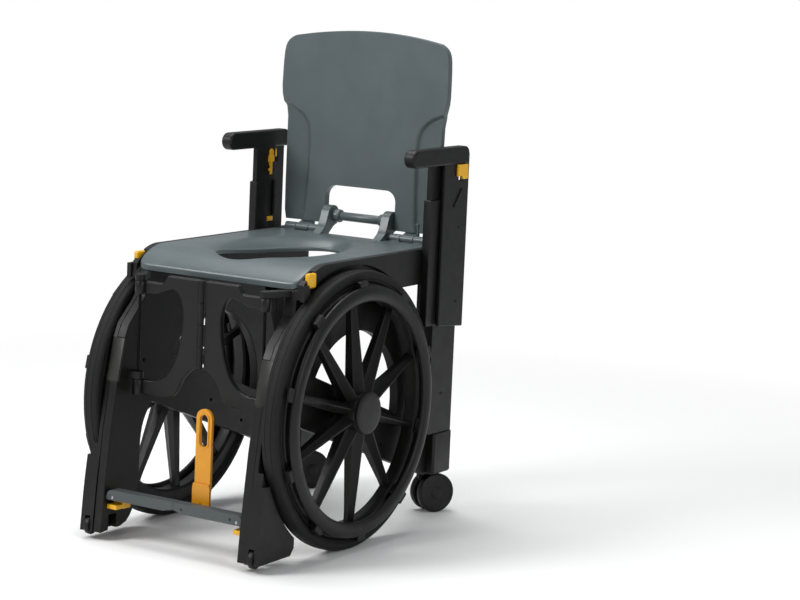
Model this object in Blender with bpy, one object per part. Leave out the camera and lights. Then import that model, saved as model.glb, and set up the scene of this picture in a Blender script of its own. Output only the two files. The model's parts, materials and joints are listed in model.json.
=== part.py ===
"""Wheeled bath chair that folds sideways, in metres, +Z up, facing -Y, standing on the floor at z = 0."""

import math

import bmesh
import bpy
from mathutils import Matrix, Vector

RIGHT = -1
LEFT = 1
SIDES = {RIGHT: "right", LEFT: "left"}

# Every y below is measured from the axle of the drive wheels, every x from the middle plane.

gap = 0.0003
running_gap = 0.0004
sharp_angle = 32
wheel_steps = 44
small_wheel_steps = 24
rod_steps = 14
pin_steps = 10
arch_steps = 72
fine_edge = 0.001
frame_edge = 0.0012
round_edge = 0.002
pad_edge = 0.003
housing_edge = 0.004

# Drive wheels
wheel_radius = 0.254
axle_height = wheel_radius
tyre_inner_radius = 0.232
tyre_inner_x = 0.181
tyre_outer_x = 0.215
rim_inner_radius = 0.205
rim_inner_x = 0.184
rim_outer_x = 0.212
hub_radius = 0.037
hub_inner_x = 0.178
hub_outer_x = 0.2347
hub_cap_radius = 0.0387
hub_cap_depth = 0.007
spoke_count = 10
spoke_start_angle = math.radians(21)
spoke_hub_half_width = 0.0095
spoke_rim_half_width = 0.0055
spoke_ridge = 0.007
hand_rim_radius = 0.214
hand_rim_x = 0.226
hand_rim_half_width = 0.014
hand_rim_half_depth = 0.0075
hand_rim_bracket_half_width = 0.007
hand_rim_sides = 8
axle_radius = 0.008
axle_inner_x = 0.1553

# Side frames, each an inner plate with an outer cover
frame_inner_x = 0.152
cover_inner_x = 0.170
cover_thin_x = 0.178
cover_outer_x = 0.190
wheel_arch_radius = 0.262
strip_depth = 0.0045
cover_band_radius = 0.236
block_front = -0.1555
block_top = 0.4817
corner_rear = -0.138
corner_outer_x = 0.1965
corner_bottom = 0.4395
corner_top = 0.493
column_front = 0.284
column_rear = 0.365
column_step = 0.312
rail_bottom = 0.459
rail_top = 0.524
leg_bend = (-0.231, 0.2875)
leg_top = (-0.213, 0.3655)
leg_shoulder = [(-0.2015, 0.390), (-0.163, 0.4285), (block_front, 0.4375)]
boot_outer_x = 0.198
opening_centre = (0.055, 0.240)
opening_radius = 0.148
beam_top_at_axle = 0.292
beam_top_slope = -0.375
axle_boss_radius = 0.020
plate_holes = ((0.055, 0.217), (0.155, 0.163), (-0.155, 0.319), (-0.170, 0.281))
plate_hole_radius = 0.0032
column_foot = 0.1653

# Castors at the back
castor_x = 0.145
castor_y = 0.346
castor_trail = 0.022
castor_turn = math.radians(-27)
castor_radius = 0.038
castor_half_width = 0.020
castor_web_half = 0.005
castor_axle_radius = 0.004
castor_stem_radius = 0.008
castor_stem_top = 0.1395
housing_inner_x = 0.122
housing_outer_x = 0.188
housing_front = 0.313
housing_rear = 0.376
housing_bottom = 0.082
housing_top = 0.165

# Small rollers in the front feet
roller_radius = 0.017
roller_y = -0.258
roller_z = 0.024
roller_inner_x = 0.177
roller_outer_x = 0.188
roller_pin_radius = 0.003

# Folding front wall and footrest, hinged at the same distance from the middle
hinge_x = 0.138
wall_y = -0.189
wall_thickness = 0.012
wall_edge = 0.0015
wall_front_gap = 0.001
wall_top = 0.485
wall_end_top = 0.470
wall_end_bottom = 0.446
wall_arm_top = 0.290
wall_arm_bottom = 0.262
wall_arch = 0.3265
wall_barrel_radius = 0.010
lower_lug_height = 0.014
wall_pin_radius = 0.003
seam_barrel_radius = 0.0052
seam_edge = 0.006
seam_pin_radius = 0.002
seam_knuckles = 4

footrest_pivot_z = 0.081
footrest_above = 0.0137
footrest_below = 0.005
footrest_front = -0.255
footrest_depth = 0.022
footrest_relief = 0.023
footrest_pin_radius = 0.003
footrest_lug_thickness = 0.0057
tongue_thickness = 0.0065
lug_root = (0.024, 0.040)
lug_radius = 0.0075
lug_bottom = 0.0772
lug_top = 0.0878
spacer_start = 0.026
spacer_end = 0.100
spacer_bottom = 0.0765
tongue_end = 0.050
stud_radius = 0.003
tongue_reach = 0.100
tongue_bottom = 0.0767
tongue_top = 0.0893
block_reach = 0.128
block_bottom = 0.058
block_above = 0.006
block_toe_top = 0.0665
block_toe_front = -0.251
block_rear = -0.212
handle_x = 0.034
handle_top = 0.262
handle_width = 0.038
handle_thickness = 0.006
handle_slot_length = 0.058
handle_slot_width = 0.017

# Seat
seat_top = 0.525
seat_thickness = 0.012
seat_half_width = 0.178
seat_front = -0.150
seat_rear = 0.285
seat_bend = -0.076
seat_drop = 0.031
opening_half_width = 0.088
opening_front = -0.105
opening_rear = 0.215
dish_half_width = 0.122
dish_front = -0.120
dish_rear = 0.250
dish_depth = 0.017
dish_front_share = 0.28
egg_factor = 0.16
hinge_y = 0.296
hinge_z = 0.530
hinge_barrel_radius = 0.008
hinge_pin_radius = 0.003
seat_lug_spans = ((0.079, 0.105), (0.135, 0.160))
back_lug_span = (0.1055, 0.1345)
ear_inner_x = 0.060
ear_outer_x = 0.078
crossbar_y = 0.314
crossbar_z = 0.557
crossbar_radius = 0.0085
crossbar_spigot_radius = 0.005

# Backrest
back_bottom = 0.542
back_top = 0.914
back_corner_drop = 0.020
back_front_y = 0.309
back_lean = 0.009
back_thickness = 0.014
back_hollow = 0.012
window_half_width = 0.080
window_top = 0.616
window_corner = 0.022

# Armrests
sleeve_outer_x = 0.207
sleeve_front = 0.232
sleeve_rear = 0.300
sleeve_bottom = 0.380
sleeve_top = 0.616
pocket_bottom = 0.430
pad_inner_x = 0.194
pad_outer_x = 0.218
pad_front = 0.149
pad_rear = 0.345
pad_bottom = 0.680
pad_top = 0.713
tongue_x = (0.1935, 0.2035)
tongue_y = (0.236, 0.296)
arm_tongue_bottom = 0.500
skirt_x = (0.2085, 0.216)
skirt_y = (0.262, 0.348)
skirt_bottom = 0.371
tab_y = (0.301, 0.336)
tab_z = (0.652, 0.680)
tab_stem_y = (0.3125, 0.3255)
tab_stem_z = (0.658, 0.674)
tab_depth = 0.005
latch_travel = 0.008
slider_x = (0.190, 0.1932)
slider_y = (0.271, 0.289)
slider_z = (0.627, 0.677)
slider_edge = 0.0006
slider_stem_y = (0.276, 0.284)
slider_stem_z = (0.645, 0.660)
channel_bottom = 0.536
catch_height = 0.009

# Seat latch buttons
button_x = (0.1846, 0.1945)
button_y = (-0.140, -0.116)
button_z = (0.487, 0.513)
button_travel = 0.004

FINISHES = {
    "black_plastic": ((0.022, 0.022, 0.021), 0.0, 0.50),
    "slate_plastic": ((0.130, 0.150, 0.155), 0.0, 0.45),
    "grey_footrest": ((0.150, 0.170, 0.175), 0.0, 0.50),
    "yellow_plastic": ((0.900, 0.560, 0.040), 0.0, 0.40),
    "amber_plastic": ((0.780, 0.350, 0.012), 0.0, 0.40),
    "tyre_rubber": ((0.016, 0.016, 0.016), 0.0, 0.75),
    "steel": ((0.450, 0.450, 0.440), 1.0, 0.35),
    "blackened_steel": ((0.020, 0.020, 0.020), 1.0, 0.45),
}


def clear_scene():
    for item in list(bpy.data.objects):
        bpy.data.objects.remove(item, do_unlink=True)


def finish_for(piece, finish):
    """Each piece gets a material of its own in the named finish."""
    colour, metallic, roughness = FINISHES[finish]
    material = bpy.data.materials.new(piece.name + "_" + finish)
    material.use_nodes = True
    shader = material.node_tree.nodes["Principled BSDF"]
    shader.inputs["Base Color"].default_value = (*colour, 1.0)
    shader.inputs["Metallic"].default_value = metallic
    shader.inputs["Roughness"].default_value = roughness
    piece.data.materials.append(material)


def solid(name, vertices, faces, finish=None):
    """A closed body from its vertices and faces, turned so every face looks outward."""
    mesh = bpy.data.meshes.new(name)
    mesh.from_pydata(vertices, [], faces)
    work = bmesh.new()
    work.from_mesh(mesh)
    bmesh.ops.recalc_face_normals(work, faces=work.faces)
    work.to_mesh(mesh)
    work.free()
    mesh.shade_smooth()
    mesh.set_sharp_from_angle(angle=math.radians(sharp_angle))
    piece = bpy.data.objects.new(name, mesh)
    bpy.context.scene.collection.objects.link(piece)
    if finish:
        finish_for(piece, finish)
    return piece


def on_axis(axis, along, first, second):
    """A point from its distance along the axis and its two other coordinates in x, y, z order."""
    if axis == "X":
        return (along, first, second)
    if axis == "Y":
        return (first, along, second)
    return (first, second, along)


def prism(name, outline, axis, ends, finish=None, bevel=0.0):
    """The outline pushed straight along an axis between two ends."""
    low, high = sorted(ends)
    count = len(outline)
    vertices = [on_axis(axis, low, *point) for point in outline]
    vertices += [on_axis(axis, high, *point) for point in outline]
    faces = [tuple(range(count)), tuple(range(count, 2 * count))]
    for index in range(count):
        after = (index + 1) % count
        faces.append((index, after, after + count, index + count))
    piece = solid(name, vertices, faces, finish)
    if bevel:
        soften(piece, bevel)
    return piece


def soften(piece, width, angle=40):
    rounding = piece.modifiers.new("soft_edges", "BEVEL")
    rounding.width = width
    rounding.segments = 1
    rounding.limit_method = "ANGLE"
    rounding.angle_limit = math.radians(angle)


def block(name, x_ends, y_ends, z_ends, finish=None, bevel=0.0):
    (front, rear), (low, high) = y_ends, z_ends
    outline = [(front, low), (rear, low), (rear, high), (front, high)]
    return prism(name, outline, "X", x_ends, finish, bevel)


def lathe(name, profile, axis, centre, finish=None, segments=wheel_steps):
    """A profile of (radius, distance along the axis) turned round the axis through the centre."""
    rings = []
    vertices = []
    for radius, along in profile:
        steps = 1 if radius == 0 else segments
        rings.append(range(len(vertices), len(vertices) + steps))
        for step in range(steps):
            angle = 2 * math.pi * step / segments
            first = radius * math.cos(angle)
            second = radius * math.sin(angle)
            offset = Vector(on_axis(axis, along, first, second))
            vertices.append(tuple(offset + Vector(centre)))
    pairs = list(zip(rings, rings[1:]))
    if profile[0][0] and profile[-1][0]:
        pairs.append((rings[-1], rings[0]))
    faces = []
    for one, two in pairs:
        for step in range(segments):
            after = (step + 1) % segments
            corners = [one[step % len(one)], one[after % len(one)]]
            corners += [two[after % len(two)], two[step % len(two)]]
            faces.append(tuple(dict.fromkeys(corners)))
    return solid(name, vertices, faces, finish)


def rod(name, axis, centre, radius, ends, finish=None, segments=rod_steps):
    low, high = sorted(ends)
    profile = [(0, low), (radius, low), (radius, high), (0, high)]
    return lathe(name, profile, axis, centre, finish, segments)


def arc(centre, radius, start, end, steps):
    """Points of a circle between two angles in degrees."""
    points = []
    for step in range(steps + 1):
        angle = math.radians(start + (end - start) * step / steps)
        points.append((centre[0] + radius * math.cos(angle), centre[1] + radius * math.sin(angle)))
    return points


def combine(piece, tool, operation):
    change = piece.modifiers.new(tool.name, "BOOLEAN")
    change.operation = operation
    change.solver = "EXACT"
    change.object = tool
    tool.hide_render = True
    tool.display_type = "WIRE"


def cut(piece, tool):
    combine(piece, tool, "DIFFERENCE")


def join(piece, tool):
    combine(piece, tool, "UNION")


def origin_at(piece, point):
    """Moves the origin to a point on the joint's axis and leaves the shape where it is."""
    piece.data.transform(Matrix.Translation(-Vector(point)))
    piece.location = point


def waterfall(y):
    """Height of the seat's top, which bends down over its front."""
    if y >= seat_bend:
        return seat_top
    return seat_top - seat_drop * ((seat_bend - y) / (seat_bend - seat_front)) ** 2


def waterfall_line(offset, steps=8):
    """Points from the front lip back to the flat of the seat, lowered by the offset."""
    points = []
    for step in range(steps + 1):
        y = seat_front + (seat_bend - seat_front) * step / steps
        points.append((y, waterfall(y) - offset))
    return points


def leg_front_line():
    """Front edge of the leg from the floor up to the corner under the seat's front."""
    return [(-0.268, 0.015), (-0.260, 0.095), (-0.246, 0.205), leg_bend, leg_top] + leg_shoulder


def strip_outline(depth, reach=0.0, slack=0.0):
    """The strip's section in the leg's front edge, from its lower to its upper seam."""
    (low_y, low), (high_y, high) = leg_bend, leg_top
    low, high = low + slack, high - slack
    return [(low_y - reach, low), (low_y + depth, low), (high_y + depth, high), (high_y - reach, high)]


def beam_top(y):
    return beam_top_at_axle + beam_top_slope * y


def hole(name, y, z, radius, x_ends):
    return rod(name, "X", (0, y, z), radius, x_ends, segments=pin_steps)


def hinge_lug(name, side, centre, radius, z_ends, attach):
    """A plate round a vertical pin, carried by two points on the frame."""
    direction = math.degrees(math.atan2(attach[0][1] - centre[1], attach[0][0] - centre[0]))
    outline = arc(centre, radius, direction + 90, direction + 270, 10)
    outline += attach
    outline = [(side * x, y) for x, y in outline]
    return prism(name, outline, "Z", z_ends)


def inner_frame(side):
    """The plate with leg, beam and rear column that everything on this side hangs on."""
    word = SIDES[side]
    outline = leg_front_line() + waterfall_line(seat_thickness + gap)
    seat_rest = seat_top - seat_thickness - gap
    outline += [(column_step, seat_rest), (column_step, rail_top), (column_rear, rail_top)]
    outline += [(column_rear, column_foot), (housing_front - gap, column_foot), (housing_front - gap, 0.080)]
    outline += [(-0.128, 0.239), (-0.150, 0.205), (-0.158, 0.171), (-0.160, 0.110), (-0.165, 0.080)]
    outline += [(-0.172, 0.052), (-0.185, 0.032), (-0.205, 0.020), (-0.222, 0.018)]
    outline += [(-0.222, 0.045), (-0.245, 0.045), (-0.245, 0.017)]
    ends = (side * frame_inner_x, side * (cover_inner_x - gap))
    frame = prism(word + "_side_frame", outline, "X", ends, "black_plastic", bevel=frame_edge)

    through = (side * 0.120, side * 0.185)
    tilt = math.atan(beam_top_slope)
    rise = beam_top(opening_centre[0]) - opening_centre[1]
    dip = math.asin(rise * math.cos(tilt) / opening_radius)
    start, end = math.degrees(tilt + dip), math.degrees(tilt + math.pi - dip)
    rim = arc(opening_centre, opening_radius, start, end, 20)
    cut(frame, prism(word + "_frame_opening", rim, "X", through))
    rear = [(0.205, rail_bottom), (column_front, rail_bottom), (column_front, 0.270)]
    rear += [(0.264, 0.300), (0.240, 0.370), (0.216, 0.425)]
    cut(frame, prism(word + "_rear_opening", rear, "X", through))
    cut(frame, prism(word + "_frame_strip_pocket", strip_outline(strip_depth, 0.030), "X", through))
    for index, (y, z) in enumerate(plate_holes):
        cut(frame, hole(word + "_frame_hole_%d" % index, y, z, plate_hole_radius, through))

    boss_ends = (side * 0.165, side * (hub_inner_x - gap))
    join(frame, hole(word + "_axle_boss", 0, axle_height, axle_boss_radius, boss_ends))
    bore_ends = (side * (axle_inner_x - gap), side * 0.200)
    cut(frame, rod(word + "_axle_bore", "X", (0, 0, axle_height), axle_radius + gap, bore_ends))

    pin = (hinge_x, wall_y)
    upper = [(0.168, -0.145), (frame_inner_x + 0.001, -0.140)]
    z_ends = (wall_end_top + gap, block_top)
    join(frame, hinge_lug(word + "_upper_lug", side, pin, wall_barrel_radius, z_ends, upper))
    plate = frame_inner_x + 0.002
    lower = [(plate, wall_y - wall_barrel_radius), (plate, wall_y + wall_barrel_radius)]
    z_ends = (wall_arm_top + gap, wall_arm_top + gap + lower_lug_height)
    join(frame, hinge_lug(word + "_lower_lug", side, pin, wall_barrel_radius, z_ends, lower))
    place = (side * hinge_x, wall_y, 0)
    bore_radius = wall_pin_radius + gap
    cut(frame, rod(word + "_lug_bore", "Z", place, bore_radius, (0.280, 0.500), segments=pin_steps))
    return frame


def leg_strip(side):
    """The light strip let into the front edge of the leg between its two seams."""
    ends = (side * frame_inner_x, side * cover_thin_x)
    outline = strip_outline(strip_depth - gap, slack=gap)
    return prism(SIDES[side] + "_leg_strip", outline, "X", ends, "black_plastic")


def outer_cover(side):
    """The outer moulding: boot, leg, corner block, rail over the wheel and rear column skin."""
    word = SIDES[side]
    outline = [(-0.253, 0.150), (-0.246, 0.205), leg_bend, leg_top] + leg_shoulder
    outline += waterfall_line(0.001)
    outline += [(column_rear, rail_top), (column_rear, column_foot), (column_front, column_foot)]
    outline += [(column_front, rail_bottom)]
    outline += arc((0, axle_height), cover_band_radius, 60, 122, 16)
    outline += [(-0.128, 0.420), (-0.168, 0.352), (-0.193, 0.278), (-0.200, 0.225), (-0.222, 0.150)]
    x_ends = (side * cover_inner_x, side * cover_outer_x)
    cover = prism(word + "_outer_cover", outline, "X", x_ends, "black_plastic", bevel=frame_edge)

    arch_profile = [(0, cover_thin_x), (wheel_arch_radius, cover_thin_x)]
    arch_profile += [(wheel_arch_radius, 0.250), (0, 0.250)]
    arch = lathe(
        word + "_wheel_arch",
        [(radius, side * x) for radius, x in arch_profile],
        "X",
        (0, 0, axle_height),
        segments=arch_steps,
    )
    boot = [(-0.270, 0.015), (-0.262, 0.095), (-0.2535, 0.152), (-0.222, 0.152)]
    boot += arc((0, axle_height), wheel_arch_radius, 203.5, 232, 12)
    boot += [(-0.161, 0.030), (-0.172, 0.017)]
    boot_ends = (side * cover_inner_x, side * boot_outer_x)
    foot = prism(word + "_boot", boot, "X", boot_ends, bevel=round_edge)
    join(cover, foot)
    x_ends = (side * (cover_outer_x - 0.002), side * corner_outer_x)
    y_ends = (block_front, corner_rear)
    join(cover, block(word + "_corner_block", x_ends, y_ends, (corner_bottom, corner_top), bevel=fine_edge))
    cut(cover, arch)
    pocket_ends = (side * 0.160, side * 0.200)
    cut(cover, prism(word + "_cover_strip_pocket", strip_outline(strip_depth, 0.030), "X", pocket_ends))

    under_seat = waterfall_line(seat_thickness + gap)
    end = seat_rear + gap
    under_seat += [(end, seat_top - seat_thickness - gap), (end, 0.560), (-0.180, 0.560)]
    under_seat += [(-0.180, under_seat[0][1])]
    cut(cover, prism(word + "_seat_rest", under_seat, "X", (side * 0.120, side * (seat_half_width + gap))))

    pocket_x = (side * (button_x[0] - button_travel - gap), side * 0.210)
    pocket_y = (button_y[0] - gap, button_y[1] + gap)
    pocket_z = (button_z[0] - gap, 0.560)
    cut(cover, block(word + "_button_pocket", pocket_x, pocket_y, pocket_z))

    slot_x = (side * (roller_inner_x - running_gap), side * (roller_outer_x + running_gap))
    cut(cover, block(word + "_roller_slot", slot_x, (-0.300, -0.239), (-0.010, 0.043)))
    pin_ends = (side * 0.160, side * 0.210)
    cut(cover, hole(word + "_roller_pin_bore", roller_y, roller_z, roller_pin_radius + gap, pin_ends))
    return cover


def front_roller(side):
    half = (roller_outer_x - roller_inner_x) / 2
    middle = side * (roller_inner_x + roller_outer_x) / 2
    bore = roller_pin_radius + gap
    profile = [(bore, -half), (roller_radius - 0.002, -half), (roller_radius, 0.002 - half)]
    profile += [(roller_radius, half - 0.002), (roller_radius - 0.002, half), (bore, half)]
    centre = (middle, roller_y, roller_z)
    roller = lathe(SIDES[side] + "_front_roller", profile, "X", centre, "black_plastic", rod_steps)
    origin_at(roller, centre)
    ends = (side * (cover_inner_x + 0.001), side * (boot_outer_x - 0.001))
    place = (0, roller_y, roller_z)
    rod(SIDES[side] + "_roller_pin", "X", place, roller_pin_radius, ends, "steel", pin_steps)


def spoke_vertices(angle, side):
    """One spoke with a ridge down its outer face, wide at the hub and narrow at the rim."""
    sections = (
        (hub_radius - 0.004, spoke_hub_half_width, 0.194, 0.228),
        (rim_inner_radius + 0.002, spoke_rim_half_width, 0.191, 0.207),
    )
    points = []
    for radius, half, inner, outer in sections:
        shoulder = outer - spoke_ridge
        section = ((-half, inner), (half, inner), (half, shoulder), (0, outer), (-half, shoulder))
        for across, x in section:
            y = radius * math.cos(angle) - across * math.sin(angle)
            z = axle_height + radius * math.sin(angle) + across * math.cos(angle)
            points.append((side * x, y, z))
    return points


def spoke_angles():
    return [spoke_start_angle + 2 * math.pi * index / spoke_count for index in range(spoke_count)]


def drive_wheel(side):
    """Wheel with rim, ten spokes and hub, its tyre, hand rim, hub cap and axle."""
    word = SIDES[side]
    centre = (0, 0, axle_height)
    tread = tyre_inner_radius - gap
    rim = [(tread, 0.187), (tread, 0.209), (0.226, rim_outer_x), (0.209, rim_outer_x)]
    rim += [(rim_inner_radius, 0.208), (rim_inner_radius, 0.188), (0.209, rim_inner_x), (0.226, rim_inner_x)]
    rim = [(radius, side * x) for radius, x in rim]
    wheel = lathe(word + "_drive_wheel", rim, "X", centre, "black_plastic")
    bore = axle_radius + running_gap
    hub = [(bore, hub_inner_x), (0.022, hub_inner_x), (hub_radius, 0.190), (hub_radius, 0.230)]
    hub += [(0.030, hub_outer_x), (bore, hub_outer_x)]
    hub = [(radius, side * x) for radius, x in hub]

    vertices = []
    faces = []
    for angle in spoke_angles():
        start = len(vertices)
        vertices += spoke_vertices(angle, side)
        faces += [tuple(range(start, start + 5)), tuple(range(start + 5, start + 10))]
        for index in range(5):
            after = (index + 1) % 5
            faces.append((start + index, start + after, start + after + 5, start + index + 5))
    spokes = solid(word + "_spokes", vertices, faces)
    join(wheel, spokes)
    join(wheel, lathe(word + "_hub", hub, "X", centre, segments=small_wheel_steps))
    origin_at(wheel, centre)

    tyre = [(tyre_inner_radius, 0.187), (0.238, 0.1822), (0.246, tyre_inner_x), (0.2522, 0.186)]
    tyre += [(wheel_radius, 0.193), (wheel_radius, 0.203), (0.2522, 0.210), (0.246, tyre_outer_x)]
    tyre += [(0.238, 0.2138), (tyre_inner_radius, 0.209)]
    tyre = [(radius, side * x) for radius, x in tyre]
    origin_at(lathe(word + "_tyre", tyre, "X", centre, "tyre_rubber"), centre)

    ring = []
    for step in range(hand_rim_sides):
        angle = 2 * math.pi * step / hand_rim_sides
        radius = hand_rim_radius + hand_rim_half_width * math.cos(angle)
        ring.append((radius, side * (hand_rim_x + hand_rim_half_depth * math.sin(angle))))
    hand_rim = lathe(word + "_hand_rim", ring, "X", centre, "black_plastic")
    vertices = []
    faces = []
    for angle in spoke_angles():
        start = len(vertices)
        for x in (rim_outer_x + gap, hand_rim_x):
            for radius, across in ((0.209, -1), (0.219, -1), (0.219, 1), (0.209, 1)):
                offset = across * hand_rim_bracket_half_width
                y = radius * math.cos(angle) - offset * math.sin(angle)
                z = axle_height + radius * math.sin(angle) + offset * math.cos(angle)
                vertices.append((side * x, y, z))
        faces += [tuple(range(start, start + 4)), tuple(range(start + 4, start + 8))]
        for index in range(4):
            after = (index + 1) % 4
            faces.append((start + index, start + after, start + after + 4, start + index + 4))
    join(hand_rim, solid(word + "_hand_rim_brackets", vertices, faces))
    origin_at(hand_rim, centre)

    cap_inner = hub_outer_x + gap
    cap_outer = cap_inner + hub_cap_depth
    cap = [(0, cap_inner), (hub_cap_radius, cap_inner), (hub_cap_radius, cap_outer - 0.003)]
    cap += [(hub_cap_radius - 0.003, cap_outer - 0.0005), (0, cap_outer)]
    cap = [(radius, side * x) for radius, x in cap]
    origin_at(lathe(word + "_hub_cap", cap, "X", centre, "black_plastic", small_wheel_steps), centre)
    ends = (side * axle_inner_x, side * (hub_outer_x - 0.0005))
    rod(word + "_axle", "X", centre, axle_radius, ends, "steel")


def castor(side):
    """Housing at the column's foot, swivelling bracket and the twin wheels on its axle."""
    word = SIDES[side]
    x_ends = (side * housing_inner_x, side * housing_outer_x)
    y_ends = (housing_front, housing_rear)
    z_ends = (housing_bottom, housing_top)
    housing = block(word + "_castor_housing", x_ends, y_ends, z_ends, "black_plastic", bevel=housing_edge)
    swivel = (side * castor_x, castor_y, 0)
    stem_bore = castor_stem_radius + running_gap
    cut(housing, rod(word + "_stem_bore", "Z", swivel, stem_bore, (0.060, castor_stem_top + gap)))

    axle = (castor_trail, castor_radius)
    web_top = housing_bottom - gap
    outline = arc(axle, 0.009, -150, 30, 10)
    outline += [(0.026, 0.060), (0.012, web_top), (-0.011, web_top), (-0.011, 0.068)]
    bracket = prism(
        word + "_castor_bracket", outline, "X", (-castor_web_half, castor_web_half), "black_plastic"
    )
    stem_ends = (0.0775, castor_stem_top)
    join(bracket, rod(word + "_castor_stem", "Z", (0, 0, 0), castor_stem_radius, stem_ends))
    axle_bore = castor_axle_radius + gap
    cut(bracket, rod(word + "_castor_axle_bore", "X", (0, *axle), axle_bore, (-0.030, 0.030)))

    inner = castor_web_half + running_gap
    outer = castor_half_width
    edge = 0.003
    profile = [(0, -outer), (castor_radius - edge, -outer), (castor_radius, edge - outer)]
    profile += [(castor_radius, -inner - edge), (castor_radius - edge, -inner), (castor_axle_radius, -inner)]
    profile += [(radius, -along) for radius, along in reversed(profile)]
    wheels = lathe(word + "_castor_wheels", profile, "X", (0, 0, 0), "black_plastic", small_wheel_steps)

    turn = Matrix.Rotation(castor_turn, 4, "Z")
    place = Matrix.Translation(Vector(swivel)) @ turn
    for tool in [bracket] + [change.object for change in bracket.modifiers]:
        tool.data.transform(turn)
        tool.location = swivel
    wheels.data.transform(turn)
    wheels.location = place @ Vector((0, *axle))


def wall_outline():
    """Half of the folding front wall seen from the front, from its seam outward."""
    outline = [(seam_edge, wall_top), (0.078, wall_top), (0.088, wall_end_top - gap)]
    outline += [(hinge_x, wall_end_top - gap), (hinge_x, wall_end_bottom), (0.100, 0.448), (0.078, 0.457)]
    outline += [(0.064, 0.460), (0.053, 0.454), (0.046, 0.440), (0.042, 0.418), (0.044, 0.385)]
    outline += [(0.051, 0.352), (0.063, 0.323), (0.079, 0.303), (0.099, 0.292), (0.120, wall_arm_top)]
    outline += [(hinge_x, wall_arm_top), (hinge_x, wall_arm_bottom), (0.115, 0.2615), (0.085, 0.2640)]
    outline += [(0.064, 0.2665), (0.054, 0.274), (0.046, 0.289), (0.037, 0.305), (0.024, 0.318)]
    outline += [(seam_edge, wall_arch)]
    return outline


def wall_half(side):
    """Half of the folding front wall, with barrels at its seam and at the side frame."""
    word = SIDES[side]
    y_ends = (wall_y + wall_front_gap, wall_y + wall_front_gap + wall_thickness)
    outline = [(side * x, z) for x, z in wall_outline()]
    half = prism(word + "_front_wall", outline, "Y", y_ends, "black_plastic", bevel=wall_edge)

    place = (side * hinge_x, wall_y, 0)
    barrels = ((wall_end_bottom, wall_end_top - gap), (wall_arm_bottom, wall_arm_top))
    for index, z_ends in enumerate(barrels):
        name = word + "_wall_barrel_%d" % index
        join(half, rod(name, "Z", place, wall_barrel_radius, z_ends, segments=rod_steps))

    pitch = (wall_top - wall_arch) / seam_knuckles
    for index in range(seam_knuckles):
        if index % 2 != (side == LEFT):
            continue
        low = wall_arch + pitch * index + gap
        high = wall_arch + pitch * (index + 1) - gap
        knuckle = arc((0, wall_y), seam_barrel_radius, 90, 270, 10)
        knuckle += arc((0, wall_y), seam_barrel_radius, 290, 360, 4)
        knuckle += [(0.009, wall_y + 0.0015), (0.009, wall_y + 0.0048)]
        knuckle = [(side * x, y) for x, y in knuckle]
        join(half, prism(word + "_seam_knuckle_%d" % index, knuckle, "Z", (low, high)))

    bore_radius = wall_pin_radius + gap
    cut(half, rod(word + "_wall_bore", "Z", place, bore_radius, (0.200, 0.520), segments=pin_steps))
    bore_radius = seam_pin_radius + gap
    seam = (0, wall_y, 0)
    cut(half, rod(word + "_seam_bore", "Z", seam, bore_radius, (0.300, 0.520), segments=pin_steps))
    pivot = (side * hinge_x, wall_y, 0) if side == RIGHT else (0, wall_y, 0)
    origin_at(half, pivot)
    move_tools(half, pivot)
    pin_ends = (wall_arm_bottom + 0.001, block_top - 0.001)
    rod(word + "_wall_pin", "Z", place, wall_pin_radius, pin_ends, "blackened_steel", pin_steps)
    return half


def move_tools(piece, point):
    """Keeps the origins of a piece's tools with the piece."""
    for change in piece.modifiers:
        if change.type == "BOOLEAN":
            origin_at(change.object, point)


def footrest_half(side):
    """Half of the footrest bar, round-ended at the leg and relieved under its centre joint."""
    word = SIDES[side]
    top = footrest_pivot_z + footrest_above
    bottom = footrest_pivot_z - footrest_below
    pivot = (hinge_x, footrest_pivot_z)
    under = -math.degrees(math.asin(footrest_below / footrest_above))
    outline = [(gap, top)] + arc(pivot, footrest_above, 90, under, 10)
    outline += [(footrest_relief, bottom), (gap, footrest_pivot_z)]
    outline = [(side * x, z) for x, z in outline]
    rear = footrest_front + footrest_depth
    half = prism(word + "_footrest", outline, "Y", (footrest_front, rear), "grey_footrest")

    first = (rear + gap, rear + footrest_lug_thickness)
    second = (first[1] + gap, first[1] + gap + tongue_thickness)
    middle = (0, footrest_pivot_z)
    if side == RIGHT:
        lug = arc(middle, lug_radius, -90, 90, 10) + [(-lug_root[1], lug_top), (-lug_root[1], lug_bottom)]
        root_ends = (-lug_root[1], -lug_root[0])
        root = block(word + "_footrest_lug", root_ends, (rear - 0.001, first[1]), (lug_bottom, lug_top))
        join(half, root)
        join(half, prism(word + "_footrest_lug_plate", lug, "Y", first))
        bore_layers = (rear, first[1] + 0.002)
    else:
        x_ends = (spacer_start, spacer_end)
        z_ends = (spacer_bottom, tongue_top + 0.0007)
        join(half, block(word + "_footrest_spacer", x_ends, (rear - 0.001, second[1]), z_ends))
        x_ends = (-tongue_reach, tongue_end)
        join(half, block(word + "_footrest_tongue", x_ends, second, (tongue_bottom, tongue_top)))
        stud_ends = (second[1] - 0.001, second[1] + handle_thickness + 0.001)
        stud = (handle_x, 0, footrest_pivot_z)
        join(half, rod(word + "_handle_stud", "Y", stud, stud_radius, stud_ends, segments=pin_steps))
        bore_layers = (second[0] - 0.001, second[1] + 0.001)
    bore_radius = footrest_pin_radius + gap
    place = (0, 0, footrest_pivot_z)
    cut(half, rod(word + "_centre_bore", "Y", place, bore_radius, bore_layers, segments=pin_steps))
    place = (side * hinge_x, 0, footrest_pivot_z)
    bore_ends = (footrest_front - 0.005, rear + 0.005)
    cut(half, rod(word + "_end_bore", "Y", place, bore_radius, bore_ends, segments=pin_steps))
    pivot = (side * hinge_x if side == RIGHT else 0, rear, footrest_pivot_z)
    origin_at(half, pivot)
    move_tools(half, pivot)
    return half


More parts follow.
